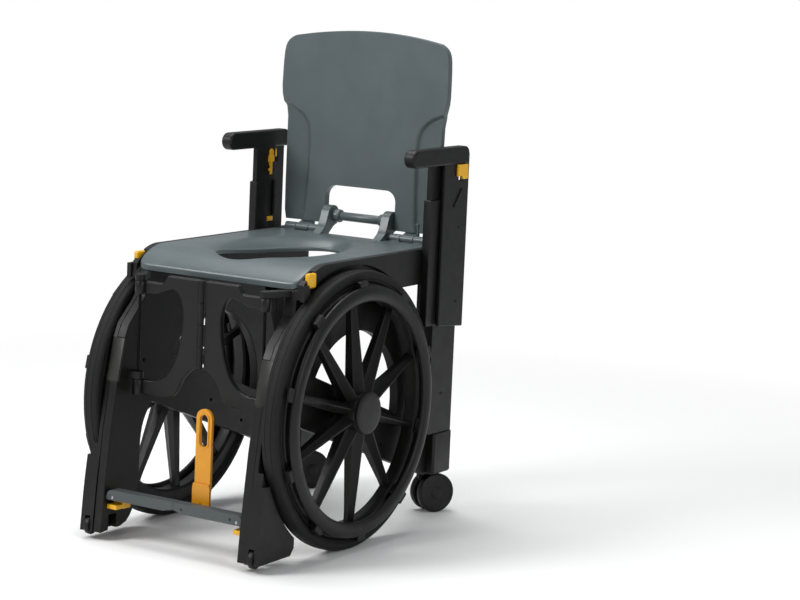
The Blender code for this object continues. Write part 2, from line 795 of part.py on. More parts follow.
def footrest_pins():
    """Pivot blocks on the legs with their pins, and the pin in the centre joint."""
    rear = footrest_front + footrest_depth
    for side, word in SIDES.items():
        x_ends = (side * block_reach, side * (frame_inner_x - gap))
        y_ends = (rear + gap, block_rear)
        z_ends = (block_bottom, footrest_pivot_z + block_above)
        holder = block(word + "_pivot_block", x_ends, y_ends, z_ends, "yellow_plastic", bevel=fine_edge)
        toe_x = (side * (block_reach + 0.002), side * (frame_inner_x - gap))
        toe_y = (block_toe_front, rear + 0.004)
        join(holder, block(word + "_block_toe", toe_x, toe_y, (block_bottom + 0.0005, block_toe_top)))
        place = (side * hinge_x, 0, footrest_pivot_z)
        bore_ends = (rear - 0.010, block_rear - 0.004)
        bore_radius = footrest_pin_radius + gap
        cut(holder, rod(word + "_block_bore", "Y", place, bore_radius, bore_ends, segments=pin_steps))
        ends = (footrest_front + 0.0005, block_rear - 0.0045)
        rod(word + "_footrest_pin", "Y", place, footrest_pin_radius, ends, "steel", pin_steps)
    first_end = rear + footrest_lug_thickness
    ends = (rear + gap, first_end + gap + tongue_thickness)
    place = (0, 0, footrest_pivot_z)
    centre_pin = rod("footrest_centre_pin", "Y", place, footrest_pin_radius, ends, "steel", pin_steps)
    origin_at(centre_pin, (0, rear, footrest_pivot_z))


def pull_handle():
    """Upright handle with a long slot near its top and a bend above its foot."""
    front = footrest_front + footrest_depth + footrest_lug_thickness + gap + tongue_thickness + gap
    half = handle_width / 2
    foot = [(-half, 0.083), (-0.008, 0.083), (-0.008, 0.070), (0.008, 0.070), (0.008, 0.083), (half, 0.083)]
    foot += [(half, 0.122), (half - 0.002, 0.128), (2 * 0.001 - half, 0.128), (-half, 0.122)]
    foot = [(handle_x + x, z) for x, z in foot]
    bend = 0.004
    y_ends = (front, front + handle_thickness)
    handle = prism("pull_handle", foot, "Y", y_ends, "amber_plastic")
    upper = [(handle_x - half + 0.002, 0.116), (handle_x + half - 0.002, 0.116)]
    upper += arc((handle_x, handle_top - half + 0.002), half - 0.002, 0, 180, 14)
    y_ends = (front + bend, front + bend + handle_thickness)
    join(handle, prism("handle_upper", upper, "Y", y_ends, bevel=fine_edge))
    slot_radius = handle_slot_width / 2
    slot_top = handle_top - 0.010 - slot_radius
    slot_bottom = slot_top - handle_slot_length + 2 * slot_radius
    slot = arc((handle_x, slot_top), slot_radius, 0, 180, 10)
    slot += arc((handle_x, slot_bottom), slot_radius, 180, 360, 10)
    cut(handle, prism("handle_slot", slot, "Y", (front - 0.010, front + 0.030)))
    place = (handle_x, 0, footrest_pivot_z)
    bore_ends = (front - 0.010, front + 0.030)
    cut(handle, rod("handle_bore", "Y", place, stud_radius + gap, bore_ends, segments=pin_steps))
    pivot = (handle_x, front, footrest_pivot_z)
    origin_at(handle, pivot)
    move_tools(handle, pivot)


def egg(half_width, front, rear, steps=28):
    """An oval that is wider towards the front of the seat."""
    middle = (front + rear) / 2
    length = (rear - front) / 2
    points = []
    for step in range(steps):
        angle = 2 * math.pi * step / steps
        taper = 1 - egg_factor * math.sin(angle)
        points.append((half_width * math.cos(angle) * taper, middle + length * math.sin(angle)))
    return points


def dip(y):
    """The dish is shallow at its front and reaches its full depth behind the middle."""
    share = min(max((y + 0.100) / 0.220, 0.0), 1.0)
    return dish_depth * (dish_front_share + (1 - dish_front_share) * share * share * (3 - 2 * share))


def dish_ring(name):
    """The funnel between the top of the seat and the edge of its opening."""
    outer = egg(dish_half_width + 0.002, dish_front - 0.002, dish_rear + 0.002)
    shoulder = egg(dish_half_width - 0.010, dish_front + 0.006, dish_rear - 0.012)
    inner = egg(opening_half_width, opening_front, opening_rear)
    under = seat_thickness - 0.001
    loops = [
        [(x, y, waterfall(y) - 0.0012) for x, y in outer],
        [(x, y, waterfall(y) - 0.35 * dip(y) - 0.0008) for x, y in shoulder],
        [(x, y, waterfall(y) - dip(y)) for x, y in inner],
        [(x, y, waterfall(y) - dip(y) - 0.008) for x, y in inner],
        [(x, y, waterfall(y) - 0.35 * dip(y) - under) for x, y in shoulder],
        [(x, y, waterfall(y) - under) for x, y in outer],
    ]
    count = len(loops[0])
    vertices = [point for loop in loops for point in loop]
    faces = []
    for index in range(len(loops)):
        after = (index + 1) % len(loops)
        for step in range(count):
            along = (step + 1) % count
            start, end = index * count, after * count
            faces.append((start + step, start + along, end + along, end + step))
    return solid(name, vertices, faces)


def seat():
    """Seat with waterfall front, dished opening, hinge lugs and two ears for the crossbar."""
    outline = waterfall_line(0) + [(seat_rear, seat_top), (seat_rear, seat_top - seat_thickness)]
    outline += list(reversed(waterfall_line(seat_thickness)))
    body = prism("seat", outline, "X", (-seat_half_width, seat_half_width), "slate_plastic", bevel=round_edge)
    cut(body, prism("dish_cut", egg(dish_half_width, dish_front, dish_rear), "Z", (0.450, 0.560)))
    join(body, dish_ring("dish"))

    for side, word in SIDES.items():
        for index, span in enumerate(seat_lug_spans):
            ends = (side * span[0], side * span[1])
            lug = arc((hinge_y, hinge_z), hinge_barrel_radius, -50, 215, 14)
            lug += [(seat_rear - 0.004, 0.5245), (seat_rear - 0.004, 0.5137), (0.2935, 0.5137)]
            join(body, prism(word + "_seat_lug_%d" % index, lug, "X", ends))
        bore_ends = (side * 0.079 + side * 0.0008, side * 0.170)
        bore = hole(word + "_seat_hinge_bore", hinge_y, hinge_z, hinge_pin_radius + gap, bore_ends)
        cut(body, bore)

        ear = [(0.256, 0.521), (0.283, 0.5145), (0.299, 0.527), (0.312, 0.537), (0.325, 0.542)]
        ear += arc((0.310, 0.558), 0.0192, -30, 150, 12)
        ear += [(0.288, 0.553), (0.281, 0.539), (0.269, 0.529)]
        ends = (side * ear_inner_x, side * ear_outer_x)
        join(body, prism(word + "_ear", ear, "X", ends, bevel=fine_edge))
        spigot_ends = (side * (ear_inner_x - 0.003), side * (ear_inner_x + 0.0105))
        bore = hole(word + "_ear_bore", crossbar_y, crossbar_z, crossbar_spigot_radius + gap, spigot_ends)
        cut(body, bore)
    origin_at(body, (0, 0, seat_top))
    move_tools(body, (0, 0, seat_top))

    shoulder = ear_inner_x - gap
    tip = ear_inner_x + 0.010
    profile = [(0, -tip), (crossbar_spigot_radius, -tip), (crossbar_spigot_radius, -shoulder)]
    profile += [(crossbar_radius, -shoulder)]
    profile += [(radius, -along) for radius, along in reversed(profile)]
    lathe("crossbar", profile, "X", (0, crossbar_y, crossbar_z), "slate_plastic", rod_steps)

    for side, word in SIDES.items():
        ends = (side * 0.0805, side * 0.1595)
        rod(word + "_back_hinge_pin", "X", (0, hinge_y, hinge_z), hinge_pin_radius, ends, "steel", pin_steps)


def back_half_width(z):
    """Half width of the backrest at a height, with a notch below its widest part."""
    stops = ((0.535, 0.168), (0.560, 0.173), (0.620, 0.1745), (0.745, 0.176), (0.766, 0.181))
    stops += ((0.776, 0.1855), (0.806, 0.1875), (0.860, 0.1860), (0.885, 0.1830))
    stops += ((0.898, 0.1760), (0.906, 0.1650), (0.914, 0.1500))
    for (low, start), (high, end) in zip(stops, stops[1:]):
        if z <= high:
            return start + (end - start) * (z - low) / (high - low)
    return stops[-1][1]


def backrest():
    """Hollowed backrest panel with its window, and one lug on each side for the hinge."""
    levels = [back_bottom, 0.560, 0.620, 0.680, 0.745, 0.766, 0.776, 0.806, 0.835]
    levels += [0.860, 0.885, 0.898, 0.906, back_top]
    columns = 12
    vertices = []
    for depth in (0, back_thickness):
        for z in levels:
            for column in range(columns + 1):
                across = 2 * column / columns - 1
                x = across * back_half_width(z)
                climb = (z - back_bottom) / (back_top - back_bottom)
                arch = back_corner_drop * (x / 0.187) ** 2 * climb**4
                y = back_front_y + back_lean * climb + depth - back_hollow * (x / 0.187) ** 2
                vertices.append((x, y, z - arch))
    width = columns + 1
    sheet = len(levels) * width
    faces = []
    for row in range(len(levels) - 1):
        for column in range(columns):
            a = row * width + column
            corners = (a, a + 1, a + width + 1, a + width)
            faces.append(corners)
            faces.append(tuple(corner + sheet for corner in corners))
    rim = list(range(width))
    rim += [row * width + columns for row in range(1, len(levels))]
    rim += [(len(levels) - 1) * width + column for column in range(columns - 1, -1, -1)]
    rim += [row * width for row in range(len(levels) - 2, 0, -1)]
    for index, start in enumerate(rim):
        end = rim[(index + 1) % len(rim)]
        faces.append((start, end, end + sheet, start + sheet))
    panel = solid("backrest", vertices, faces, "slate_plastic")

    corner = window_top - window_corner
    window = [(-window_half_width, 0.500), (window_half_width, 0.500)]
    window += arc((window_half_width - window_corner, corner), window_corner, 0, 90, 8)
    window += arc((window_corner - window_half_width, corner), window_corner, 90, 180, 8)
    cut(panel, prism("back_window", window, "Y", (0.250, 0.380)))
    for side, word in SIDES.items():
        ends = (side * back_lug_span[0], side * back_lug_span[1])
        lug = arc((hinge_y, hinge_z), hinge_barrel_radius, 75, 300, 12)
        lug += [(0.313, 0.530), (0.316, 0.560), (0.308, 0.560), (0.3075, 0.541)]
        join(panel, prism(word + "_back_lug", lug, "X", ends))
        bore_ends = (side * 0.095, side * 0.145)
        cut(panel, hole(word + "_back_bore", hinge_y, hinge_z, hinge_pin_radius + gap, bore_ends))
    pivot = (0, hinge_y, hinge_z)
    origin_at(panel, pivot)
    move_tools(panel, pivot)


def sleeve(side):
    """Fixed sleeve that takes the armrest's tongue, open on its inner face for the latch."""
    word = SIDES[side]
    x_ends = (side * (cover_outer_x + gap), side * sleeve_outer_x)
    y_ends = (sleeve_front, sleeve_rear)
    z_ends = (sleeve_bottom, sleeve_top)
    body = block(word + "_armrest_sleeve", x_ends, y_ends, z_ends, "black_plastic", bevel=frame_edge)
    x_ends = (side * (tongue_x[0] - 0.0005), side * (tongue_x[1] + 0.0005))
    y_ends = (tongue_y[0] - 0.0005, tongue_y[1] + 0.0005)
    cut(body, block(word + "_sleeve_pocket", x_ends, y_ends, (pocket_bottom, sleeve_top + 0.010)))
    x_ends = (side * 0.185, side * tongue_x[0])
    y_ends = (slider_y[0] - 0.001, slider_y[1] + 0.001)
    cut(body, block(word + "_sleeve_channel", x_ends, y_ends, (channel_bottom, sleeve_top + 0.011)))
    x_ends = (side * (slider_x[0] - 0.0007), side * (tongue_x[0] - 0.0008))
    z_ends = (channel_bottom + gap, channel_bottom + gap + catch_height)
    block(word + "_lower_catch", x_ends, slider_y, z_ends, "yellow_plastic")


def armrest(side):
    """Armrest with pad, tongue and outer skirt, its outer latch tab and its inner latch slider."""
    word = SIDES[side]
    origin = (side * pad_inner_x, tongue_y[0], pad_bottom)
    nose = (pad_top - pad_bottom) / 2
    outline = arc((pad_front + nose, pad_bottom + nose), nose, 270, 90, 10)
    outline += arc((pad_rear - 0.012, pad_top - 0.012), 0.012, 90, 0, 6)
    outline += [(pad_rear, pad_bottom)]
    x_ends = (side * pad_inner_x, side * pad_outer_x)
    arm = prism(word + "_armrest", outline, "X", x_ends, "black_plastic", bevel=pad_edge)
    x_ends = (side * tongue_x[0], side * tongue_x[1])
    join(arm, block(word + "_arm_tongue", x_ends, tongue_y, (arm_tongue_bottom, pad_bottom + 0.004)))
    skirt = [(skirt_y[0], skirt_bottom + 0.008), (skirt_y[1], skirt_bottom), (skirt_y[1], 0.700)]
    skirt += [(pad_rear - 0.006, 0.7065), (skirt_y[0], 0.7065)]
    x_ends = (side * skirt_x[0], side * skirt_x[1])
    join(arm, prism(word + "_arm_skirt", skirt, "X", x_ends))

    slot_z = (tab_stem_z[0] - latch_travel - gap, tab_stem_z[1] + gap)
    slot_y = (tab_stem_y[0] - gap, tab_stem_y[1] + gap)
    cut(arm, block(word + "_tab_slot", (side * 0.204, side * 0.230), slot_y, slot_z))
    slot_z = (slider_stem_z[0] - latch_travel - gap, slider_stem_z[1] + gap)
    slot_y = (slider_stem_y[0] - gap, slider_stem_y[1] + gap)
    cut(arm, block(word + "_slider_slot", (side * 0.185, side * 0.1995), slot_y, slot_z))
    origin_at(arm, origin)
    move_tools(arm, origin)

    face = skirt_x[1] + gap
    x_ends = (side * face, side * (face + tab_depth))
    tab = block(word + "_latch_tab", x_ends, tab_y, tab_z, "yellow_plastic", fine_edge)
    x_ends = (side * 0.2095, side * (face + 0.002))
    join(tab, block(word + "_tab_stem", x_ends, tab_stem_y, tab_stem_z))
    pivot = (side * face, tab_y[0], tab_z[0])
    origin_at(tab, pivot)
    move_tools(tab, pivot)
    x_ends = (side * slider_x[0], side * slider_x[1])
    slider = block(word + "_latch_slider", x_ends, slider_y, slider_z, "yellow_plastic", slider_edge)
    x_ends = (side * (slider_x[1] - 0.001), side * 0.199)
    join(slider, block(word + "_slider_stem", x_ends, slider_stem_y, slider_stem_z))
    pivot = (side * slider_x[0], slider_y[0], slider_z[0])
    origin_at(slider, pivot)
    move_tools(slider, pivot)


def seat_button(side):
    x_ends = (side * button_x[0], side * button_x[1])
    button = block(SIDES[side] + "_seat_button", x_ends, button_y, button_z, "yellow_plastic", round_edge)
    origin_at(button, (side * button_x[0], button_y[0], button_z[0]))


def centre_front_to_back():
    """Moves everything so the chair's box is centred on the origin from front to back."""
    bpy.context.view_layer.update()
    pieces = [item for item in bpy.data.objects if not item.hide_render]
    reach = [(item.matrix_world @ vertex.co).y for item in pieces for vertex in item.data.vertices]
    shift = -(min(reach) + max(reach)) / 2
    for item in bpy.data.objects:
        item.location.y += shift


def build_chair():
    clear_scene()
    for side in SIDES:
        inner_frame(side)
        leg_strip(side)
        outer_cover(side)
        front_roller(side)
        drive_wheel(side)
        castor(side)
        wall_half(side)
        footrest_half(side)
        sleeve(side)
        armrest(side)
        seat_button(side)
    pin_ends = (wall_arch + 0.001, wall_top - 0.001)
    rod("wall_seam_pin", "Z", (0, wall_y, 0), seam_pin_radius, pin_ends, "blackened_steel", pin_steps)
    footrest_pins()
    pull_handle()
    seat()
    backrest()
    centre_front_to_back()


build_chair()
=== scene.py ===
"""Looks for a wheeled bath chair that folds sideways, laid out as an add-on and run as a script."""

import json
import math

import bmesh
import bpy
from mathutils import Matrix, Vector

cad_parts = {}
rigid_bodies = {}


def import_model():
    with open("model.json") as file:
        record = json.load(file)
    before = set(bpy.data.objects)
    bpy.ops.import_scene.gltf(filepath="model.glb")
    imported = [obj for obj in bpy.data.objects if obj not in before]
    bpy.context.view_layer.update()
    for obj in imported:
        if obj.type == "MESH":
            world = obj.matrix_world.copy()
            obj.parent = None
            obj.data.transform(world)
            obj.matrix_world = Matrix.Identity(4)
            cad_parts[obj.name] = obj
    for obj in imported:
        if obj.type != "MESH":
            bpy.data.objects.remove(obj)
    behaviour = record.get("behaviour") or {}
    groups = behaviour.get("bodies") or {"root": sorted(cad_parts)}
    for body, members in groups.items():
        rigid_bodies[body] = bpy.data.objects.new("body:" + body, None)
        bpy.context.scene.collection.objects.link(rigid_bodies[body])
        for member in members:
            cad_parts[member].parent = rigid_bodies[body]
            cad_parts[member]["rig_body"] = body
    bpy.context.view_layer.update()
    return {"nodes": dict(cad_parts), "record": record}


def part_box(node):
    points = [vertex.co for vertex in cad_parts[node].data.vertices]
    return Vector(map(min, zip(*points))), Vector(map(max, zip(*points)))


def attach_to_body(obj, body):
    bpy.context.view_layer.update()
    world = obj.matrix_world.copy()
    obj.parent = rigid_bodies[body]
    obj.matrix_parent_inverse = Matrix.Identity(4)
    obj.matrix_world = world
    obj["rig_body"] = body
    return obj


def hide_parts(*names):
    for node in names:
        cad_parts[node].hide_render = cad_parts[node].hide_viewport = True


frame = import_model()

bl_info = {
    "name": "Wheeled bath chair",
    "version": (1, 0, 0),
    "blender": (4, 5, 0),
    "location": "3D View > Sidebar > Bath chair",
    "description": "Builds the finished surfaces of a folding wheeled bath chair on its CAD frame",
    "category": "Object",
}

SIDES = {"right": -1, "left": 1}
tyre_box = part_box("left_tyre")
axle_y = (tyre_box[0].y + tyre_box[1].y) / 2
axle_z = (tyre_box[0].z + tyre_box[1].z) / 2
tiny = 0.0003

# Measures that several pieces share, with y taken from the wheels' axle
plate_x = (0.152, 0.1697)
cover_x = (0.170, 0.190)
cover_thin_x = 0.178
arch_radius = 0.262
seat_front, seat_bend = -0.150, -0.076
seat_top, seat_drop, seat_thickness = 0.525, 0.031, 0.012
column_y = (0.284, 0.365)
column_foot, rail_top = 0.1653, 0.524
hinge_x, wall_y = 0.138, -0.189
back_foot, back_top, wing_top = 0.542, 0.914, 0.776


def linear(hex_colour):
    """An sRGB hex colour as linear values."""
    value = hex_colour.lstrip("#")
    parts = [int(value[index : index + 2], 16) / 255 for index in (0, 2, 4)]
    return tuple(part / 12.92 if part <= 0.04045 else ((part + 0.055) / 1.055) ** 2.4 for part in parts)


class ChairColours(bpy.types.PropertyGroup):
    frame_black: bpy.props.FloatVectorProperty(
        name="Frame", description="Black glass-filled nylon of frames and wheels", subtype="COLOR",
        default=linear("#121211")
    )
    # Pale grey of the leg strips is a painted sheen, standing in for light catching the leg's front edge
    frame_rubbed: bpy.props.FloatVectorProperty(
        name="Leg strip", description="Nylon of the strips in the legs, paler as a painted sheen", subtype="COLOR",
        default=linear("#2e2e2c")
    )
    slate: bpy.props.FloatVectorProperty(
        name="Seat and back", description="Slate polypropylene of seat and back", subtype="COLOR",
        default=linear("#515b5d")
    )
    footrest_grey: bpy.props.FloatVectorProperty(
        name="Footrest", description="Grey polypropylene of the footrest", subtype="COLOR",
        default=linear("#494f50")
    )
    latch_yellow: bpy.props.FloatVectorProperty(
        name="Latches", description="Yellow acetal of buttons and latches", subtype="COLOR",
        default=linear("#e6ad1c")
    )
    handle_amber: bpy.props.FloatVectorProperty(
        name="Pull handle", description="Amber nylon of the pull handle", subtype="COLOR",
        default=linear("#d6900f")
    )
    tyre_black: bpy.props.FloatVectorProperty(
        name="Tyres", description="Solid polyurethane of the tyres", subtype="COLOR",
        default=linear("#0e0e0e")
    )
    floor_pale: bpy.props.FloatVectorProperty(
        name="Floor", description="Pale studio floor", subtype="COLOR", default=linear("#f4f4f3")
    )


class ChairSizes(bpy.types.PropertyGroup):
    edge: bpy.props.FloatProperty(
        name="Edge radius", description="Radius on moulded edges", default=0.0022, unit="LENGTH", min=0.0005,
        max=0.004
    )
    spoke_count: bpy.props.IntProperty(
        name="Spokes", description="Spokes in each drive wheel", default=10, min=5, max=20,
    )
    wheel_steps: bpy.props.IntProperty(
        name="Wheel steps", description="Facets round a drive wheel", default=144, min=36, max=240
    )
    dish_depth: bpy.props.FloatProperty(
        name="Dish depth", description="Fall of the seat to its opening", default=0.017, unit="LENGTH",
        min=0.005, max=0.018
    )
    wing_setback: bpy.props.FloatProperty(
        name="Wing setback", description="How far the lower sides of the back lie behind it", default=0.0065,
        unit="LENGTH"
    )
    screw_radius: bpy.props.FloatProperty(
        name="Screw head", description="Radius of a screw head", default=0.0036, unit="LENGTH"
    )


class ChairView(bpy.types.PropertyGroup):
    azimuth: bpy.props.FloatProperty(
        name="Azimuth", description="Camera's turn round the chair", default=math.radians(35.11),
        subtype="ANGLE"
    )
    elevation: bpy.props.FloatProperty(
        name="Elevation", description="Camera's angle above the floor", default=math.radians(8.62),
        subtype="ANGLE"
    )
    roll: bpy.props.FloatProperty(
        name="Roll", description="Camera's roll", default=math.radians(2.07), subtype="ANGLE",
    )
    lens: bpy.props.FloatProperty(
        name="Lens", description="Focal length in mm on a 36 mm sensor", default=115.86,
    )
    place: bpy.props.FloatVectorProperty(
        name="Place", description="Where the camera stands", default=(2.6863, -3.8663, 1.1366),
        subtype="TRANSLATION"
    )
    shift: bpy.props.FloatProperty(
        name="Shift", description="Sideways shift that puts the chair left of the middle", default=0.1625
    )


# Materials


def add_node(tree, kind, settings=None, links=None):
    """Adds a node, sets its properties or inputs by name or number, and links its inputs."""
    node = tree.nodes.new(kind)
    for key, value in (settings or {}).items():
        if isinstance(key, int) or key in node.inputs:
            node.inputs[key].default_value = value
        else:
            setattr(node, key, value)
    for key, socket in (links or {}).items():
        tree.links.new(socket, node.inputs[key])
    return node


def start_material(name):
    material = bpy.data.materials.new(name)
    material.use_nodes = True
    tree = material.node_tree
    tree.nodes.clear()
    place = add_node(tree, "ShaderNodeTexCoord").outputs["Object"]
    return material, tree, place


def spread(tree, value, low, high, place_low=0.35, place_high=0.65):
    """Stretches a pattern's middle values to a range."""
    node = add_node(
        tree,
        "ShaderNodeMapRange",
        {1: place_low, 2: place_high, 3: low, 4: high},
        {0: value},
    )
    return node.outputs[0]


def close_material(tree, shader):
    add_node(tree, "ShaderNodeOutputMaterial", links={"Surface": shader.outputs[0]})


def moulded(name, colour, roughness, grain_mm, grain_height, mottle=0.10, specular=0.5, coat=0.0):
    """A moulded plastic: spark-eroded grain, flow mottling, and a few rubbed patches.

    The grain's pitch is given in mm. It is drawn about twice as coarse as a real 0.3 mm, so that it
    shows."""
    material, tree, place = start_material(name)
    grain = add_node(
        tree, "ShaderNodeTexNoise", {"Scale": 1000 / grain_mm, "Detail": 3.0, "Roughness": 0.6},
        {"Vector": place},
    )
    flow = add_node(
        tree, "ShaderNodeTexNoise", {"Scale": 1000 / 90, "Detail": 4.0, "Roughness": 0.55}, {"Vector": place},
    )
    rubbed = add_node(
        tree, "ShaderNodeTexNoise", {"Scale": 1000 / 28, "Detail": 6.0, "Roughness": 0.7}, {"Vector": place},
    )
    dark = tuple(part * (1 - mottle) for part in colour)
    light = tuple(min(1.0, part * (1 + mottle)) for part in colour)
    tint = add_node(
        tree,
        "ShaderNodeMix",
        {"data_type": "RGBA", 6: (*dark, 1), 7: (*light, 1)},
        {0: spread(tree, flow.outputs["Fac"], 0, 1)},
    )
    worn = spread(tree, rubbed.outputs["Fac"], roughness + 0.05, roughness - 0.05)
    bump = add_node(
        tree,
        "ShaderNodeBump",
        {"Strength": grain_height, "Distance": 0.0002},
        {"Height": grain.outputs["Fac"]},
    )
    shader = add_node(
        tree,
        "ShaderNodeBsdfPrincipled",
        {"Specular IOR Level": specular, "Coat Weight": coat, "Coat Roughness": 0.25, "IOR": 1.49},
        {"Base Color": tint.outputs[2], "Roughness": worn, "Normal": bump.outputs[0]},
    )
    close_material(tree, shader)
    return material


def cast_rubber(name, colour):
    """Solid polyurethane tyre: matt, slightly dusty, with fine rings left by the mould's turning."""
    material, tree, place = start_material(name)
    middle = add_node(
        tree, "ShaderNodeVectorMath", {"operation": "SUBTRACT", 1: (0, axle_y, axle_z)}, {0: place},
    )
    flat = add_node(
        tree, "ShaderNodeVectorMath", {"operation": "MULTIPLY", 1: (0, 1, 1)}, {0: middle.outputs[0]},
    )
    radius = add_node(tree, "ShaderNodeVectorMath", {"operation": "LENGTH"}, {0: flat.outputs[0]})
    # Turning rings 1.6 mm apart
    ring = add_node(
        tree, "ShaderNodeMath", {"operation": "MULTIPLY", 1: 2 * math.pi / 0.0016},
        {0: radius.outputs["Value"]},
    )
    wave = add_node(tree, "ShaderNodeMath", {"operation": "SINE"}, {0: ring.outputs[0]})
    dust = add_node(
        tree, "ShaderNodeTexNoise", {"Scale": 1000 / 14, "Detail": 8.0, "Roughness": 0.72}, {"Vector": place},
    )
    grime = tuple(part * 1.7 + 0.002 for part in colour)
    tint = add_node(
        tree,
        "ShaderNodeMix",
        {"data_type": "RGBA", 6: (*colour, 1), 7: (*grime, 1)},
        {0: spread(tree, dust.outputs["Fac"], 0, 1, 0.42, 0.72)},
    )
    height = add_node(
        tree, "ShaderNodeMath", {"operation": "MULTIPLY_ADD", 1: 0.12},
        {0: wave.outputs[0], 2: dust.outputs["Fac"]},
    )
    bump = add_node(
        tree, "ShaderNodeBump", {"Strength": 0.35, "Distance": 0.0004}, {"Height": height.outputs[0]},
    )
    rough = spread(tree, dust.outputs["Fac"], 0.62, 0.78)
    shader = add_node(
        tree,
        "ShaderNodeBsdfPrincipled",
        {"IOR": 1.52, "Specular IOR Level": 0.28},
        {"Base Color": tint.outputs[2], "Roughness": rough, "Normal": bump.outputs[0]},
    )
    close_material(tree, shader)
    return material


def brushed_steel(name, colour, dullness=0.0):
    """Drawn rod: fine lines along it and a soft satin gloss."""
    material, tree, place = start_material(name)
    lines = add_node(tree, "ShaderNodeMapping", {"Scale": (40, 900, 900)}, {"Vector": place})
    drawn = add_node(tree, "ShaderNodeTexNoise", {"Scale": 1.0, "Detail": 4.0}, {"Vector": lines.outputs[0]})
    rough = spread(tree, drawn.outputs["Fac"], 0.24 + dullness, 0.38 + dullness)
    bump = add_node(
        tree, "ShaderNodeBump", {"Strength": 0.15, "Distance": 0.0001}, {"Height": drawn.outputs["Fac"]},
    )
    shader = add_node(
        tree,
        "ShaderNodeBsdfPrincipled",
        {"Base Color": (*colour, 1), "Metallic": 1.0},
        {"Roughness": rough, "Normal": bump.outputs[0]},
    )
    close_material(tree, shader)
    return material


FINISHES = {}


def make_finishes():
    colours = bpy.context.scene.chair_colours
    FINISHES.update(
        {
            # Glass-filled nylon with a spark-eroded grain: satin, with soft highlights on its edges
            "black_plastic": moulded(
                "moulded_black_nylon", colours.frame_black, 0.43, 0.7, 0.30, specular=0.30,
            ),
            # Unfilled polypropylene with a finer grain: smooth, with a broad sheen
            "slate_plastic": moulded("moulded_slate_polypropylene", colours.slate, 0.33, 0.9, 0.12, 0.05),
            "grey_footrest": moulded(
                "moulded_grey_polypropylene", colours.footrest_grey, 0.45, 0.8, 0.22, 0.06, 0.35,
            ),
            # Acetal and dyed nylon: brighter and glossier, with hardly any grain
            "yellow_plastic": moulded("moulded_yellow_acetal", colours.latch_yellow, 0.33, 1.0, 0.06, 0.04),
            "amber_plastic": moulded("moulded_amber_nylon", colours.handle_amber, 0.34, 1.0, 0.08, 0.05),
            "tyre_rubber": cast_rubber("cast_black_polyurethane", colours.tyre_black),
            # Bare rod shines; the pins of the front wall are blackened and hardly show
            "steel": brushed_steel("drawn_stainless_steel", linear("#b9b9b6")),
            "blackened_steel": brushed_steel("blackened_steel", linear("#1d1d1d"), 0.15),
            # Front edge of the leg, drawn paler grey as a painted sheen of light catching the edge
            "painted_sheen_strip": moulded("black_nylon_painted_sheen", colours.frame_rubbed, 0.36, 0.7, 0.25, 0.16, 0.35),
        }
    )


def slot_of(node):
    for row in frame["record"]["subparts"]:
        if row["node"] == node:
            return row["material_slot"]
    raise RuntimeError("no material slot for " + node)


# Shapes. They are worked out with y from the wheels' axle, and moved to the chair's place at the end.


def mesh_object(name, vertices, faces, smooth=None):
    mesh = bpy.data.meshes.new(name)
    mesh.from_pydata(vertices, [], faces)
    work = bmesh.new()
    work.from_mesh(mesh)
    bmesh.ops.remove_doubles(work, verts=work.verts, dist=1e-7)
    bmesh.ops.recalc_face_normals(work, faces=work.faces)
    work.to_mesh(mesh)
    work.free()
    piece = bpy.data.objects.new(name, mesh)
    bpy.context.scene.collection.objects.link(piece)
    if smooth is not None:
        mesh.shade_smooth()
        mesh.set_sharp_from_angle(angle=math.radians(smooth))
    return piece


def on_axis(axis, along, first, second):
    if axis == "X":
        return (along, first, second)
    if axis == "Y":
        return (first, along, second)
    return (first, second, along)


def prism(name, outline, axis, ends):
    low, high = sorted(ends)
    count = len(outline)
    vertices = [on_axis(axis, low, *point) for point in outline]
    vertices += [on_axis(axis, high, *point) for point in outline]
    faces = [tuple(range(count)), tuple(range(count, 2 * count))]
    for index in range(count):
        after = (index + 1) % count
        faces.append((index, after, after + count, index + count))
    return mesh_object(name, vertices, faces)


def block(name, x_ends, y_ends, z_ends):
    outline = [(y_ends[0], z_ends[0]), (y_ends[1], z_ends[0]), (y_ends[1], z_ends[1]), (y_ends[0], z_ends[1])]
    return prism(name, outline, "X", x_ends)


def lathe(name, profile, axis, centre, steps, smooth=30):
    """A profile of (radius, place along the axis) turned round an axis through the centre."""
    vertices, rings = [], []
    for radius, along in profile:
        count = 1 if radius == 0 else steps
        rings.append(range(len(vertices), len(vertices) + count))
        for step in range(count):
            angle = 2 * math.pi * step / steps
            offset = Vector(on_axis(axis, along, radius * math.cos(angle), radius * math.sin(angle)))
            vertices.append(tuple(offset + Vector(centre)))
    pairs = list(zip(rings, rings[1:]))
    if profile[0][0] and profile[-1][0]:
        pairs.append((rings[-1], rings[0]))
    faces = []
    for one, two in pairs:
        for step in range(steps):
            after = (step + 1) % steps
            corners = [
                one[step % len(one)], one[after % len(one)], two[after % len(two)], two[step % len(two)],
            ]
            faces.append(tuple(dict.fromkeys(corners)))
    return mesh_object(name, vertices, faces, smooth)


def rod(name, axis, centre, radius, ends, steps=32):
    low, high = sorted(ends)
    edge = min(radius * 0.3, 0.0006)
    profile = [(0, low), (radius - edge, low), (radius, low + edge)]
    profile += [(radius, high - edge), (radius - edge, high), (0, high)]
    return lathe(name, profile, axis, centre, steps, 50)


def arc(centre, radius, start, end, steps):
    points = []
    for step in range(steps + 1):
        angle = math.radians(start + (end - start) * step / steps)
        points.append((centre[0] + radius * math.cos(angle), centre[1] + radius * math.sin(angle)))
    return points


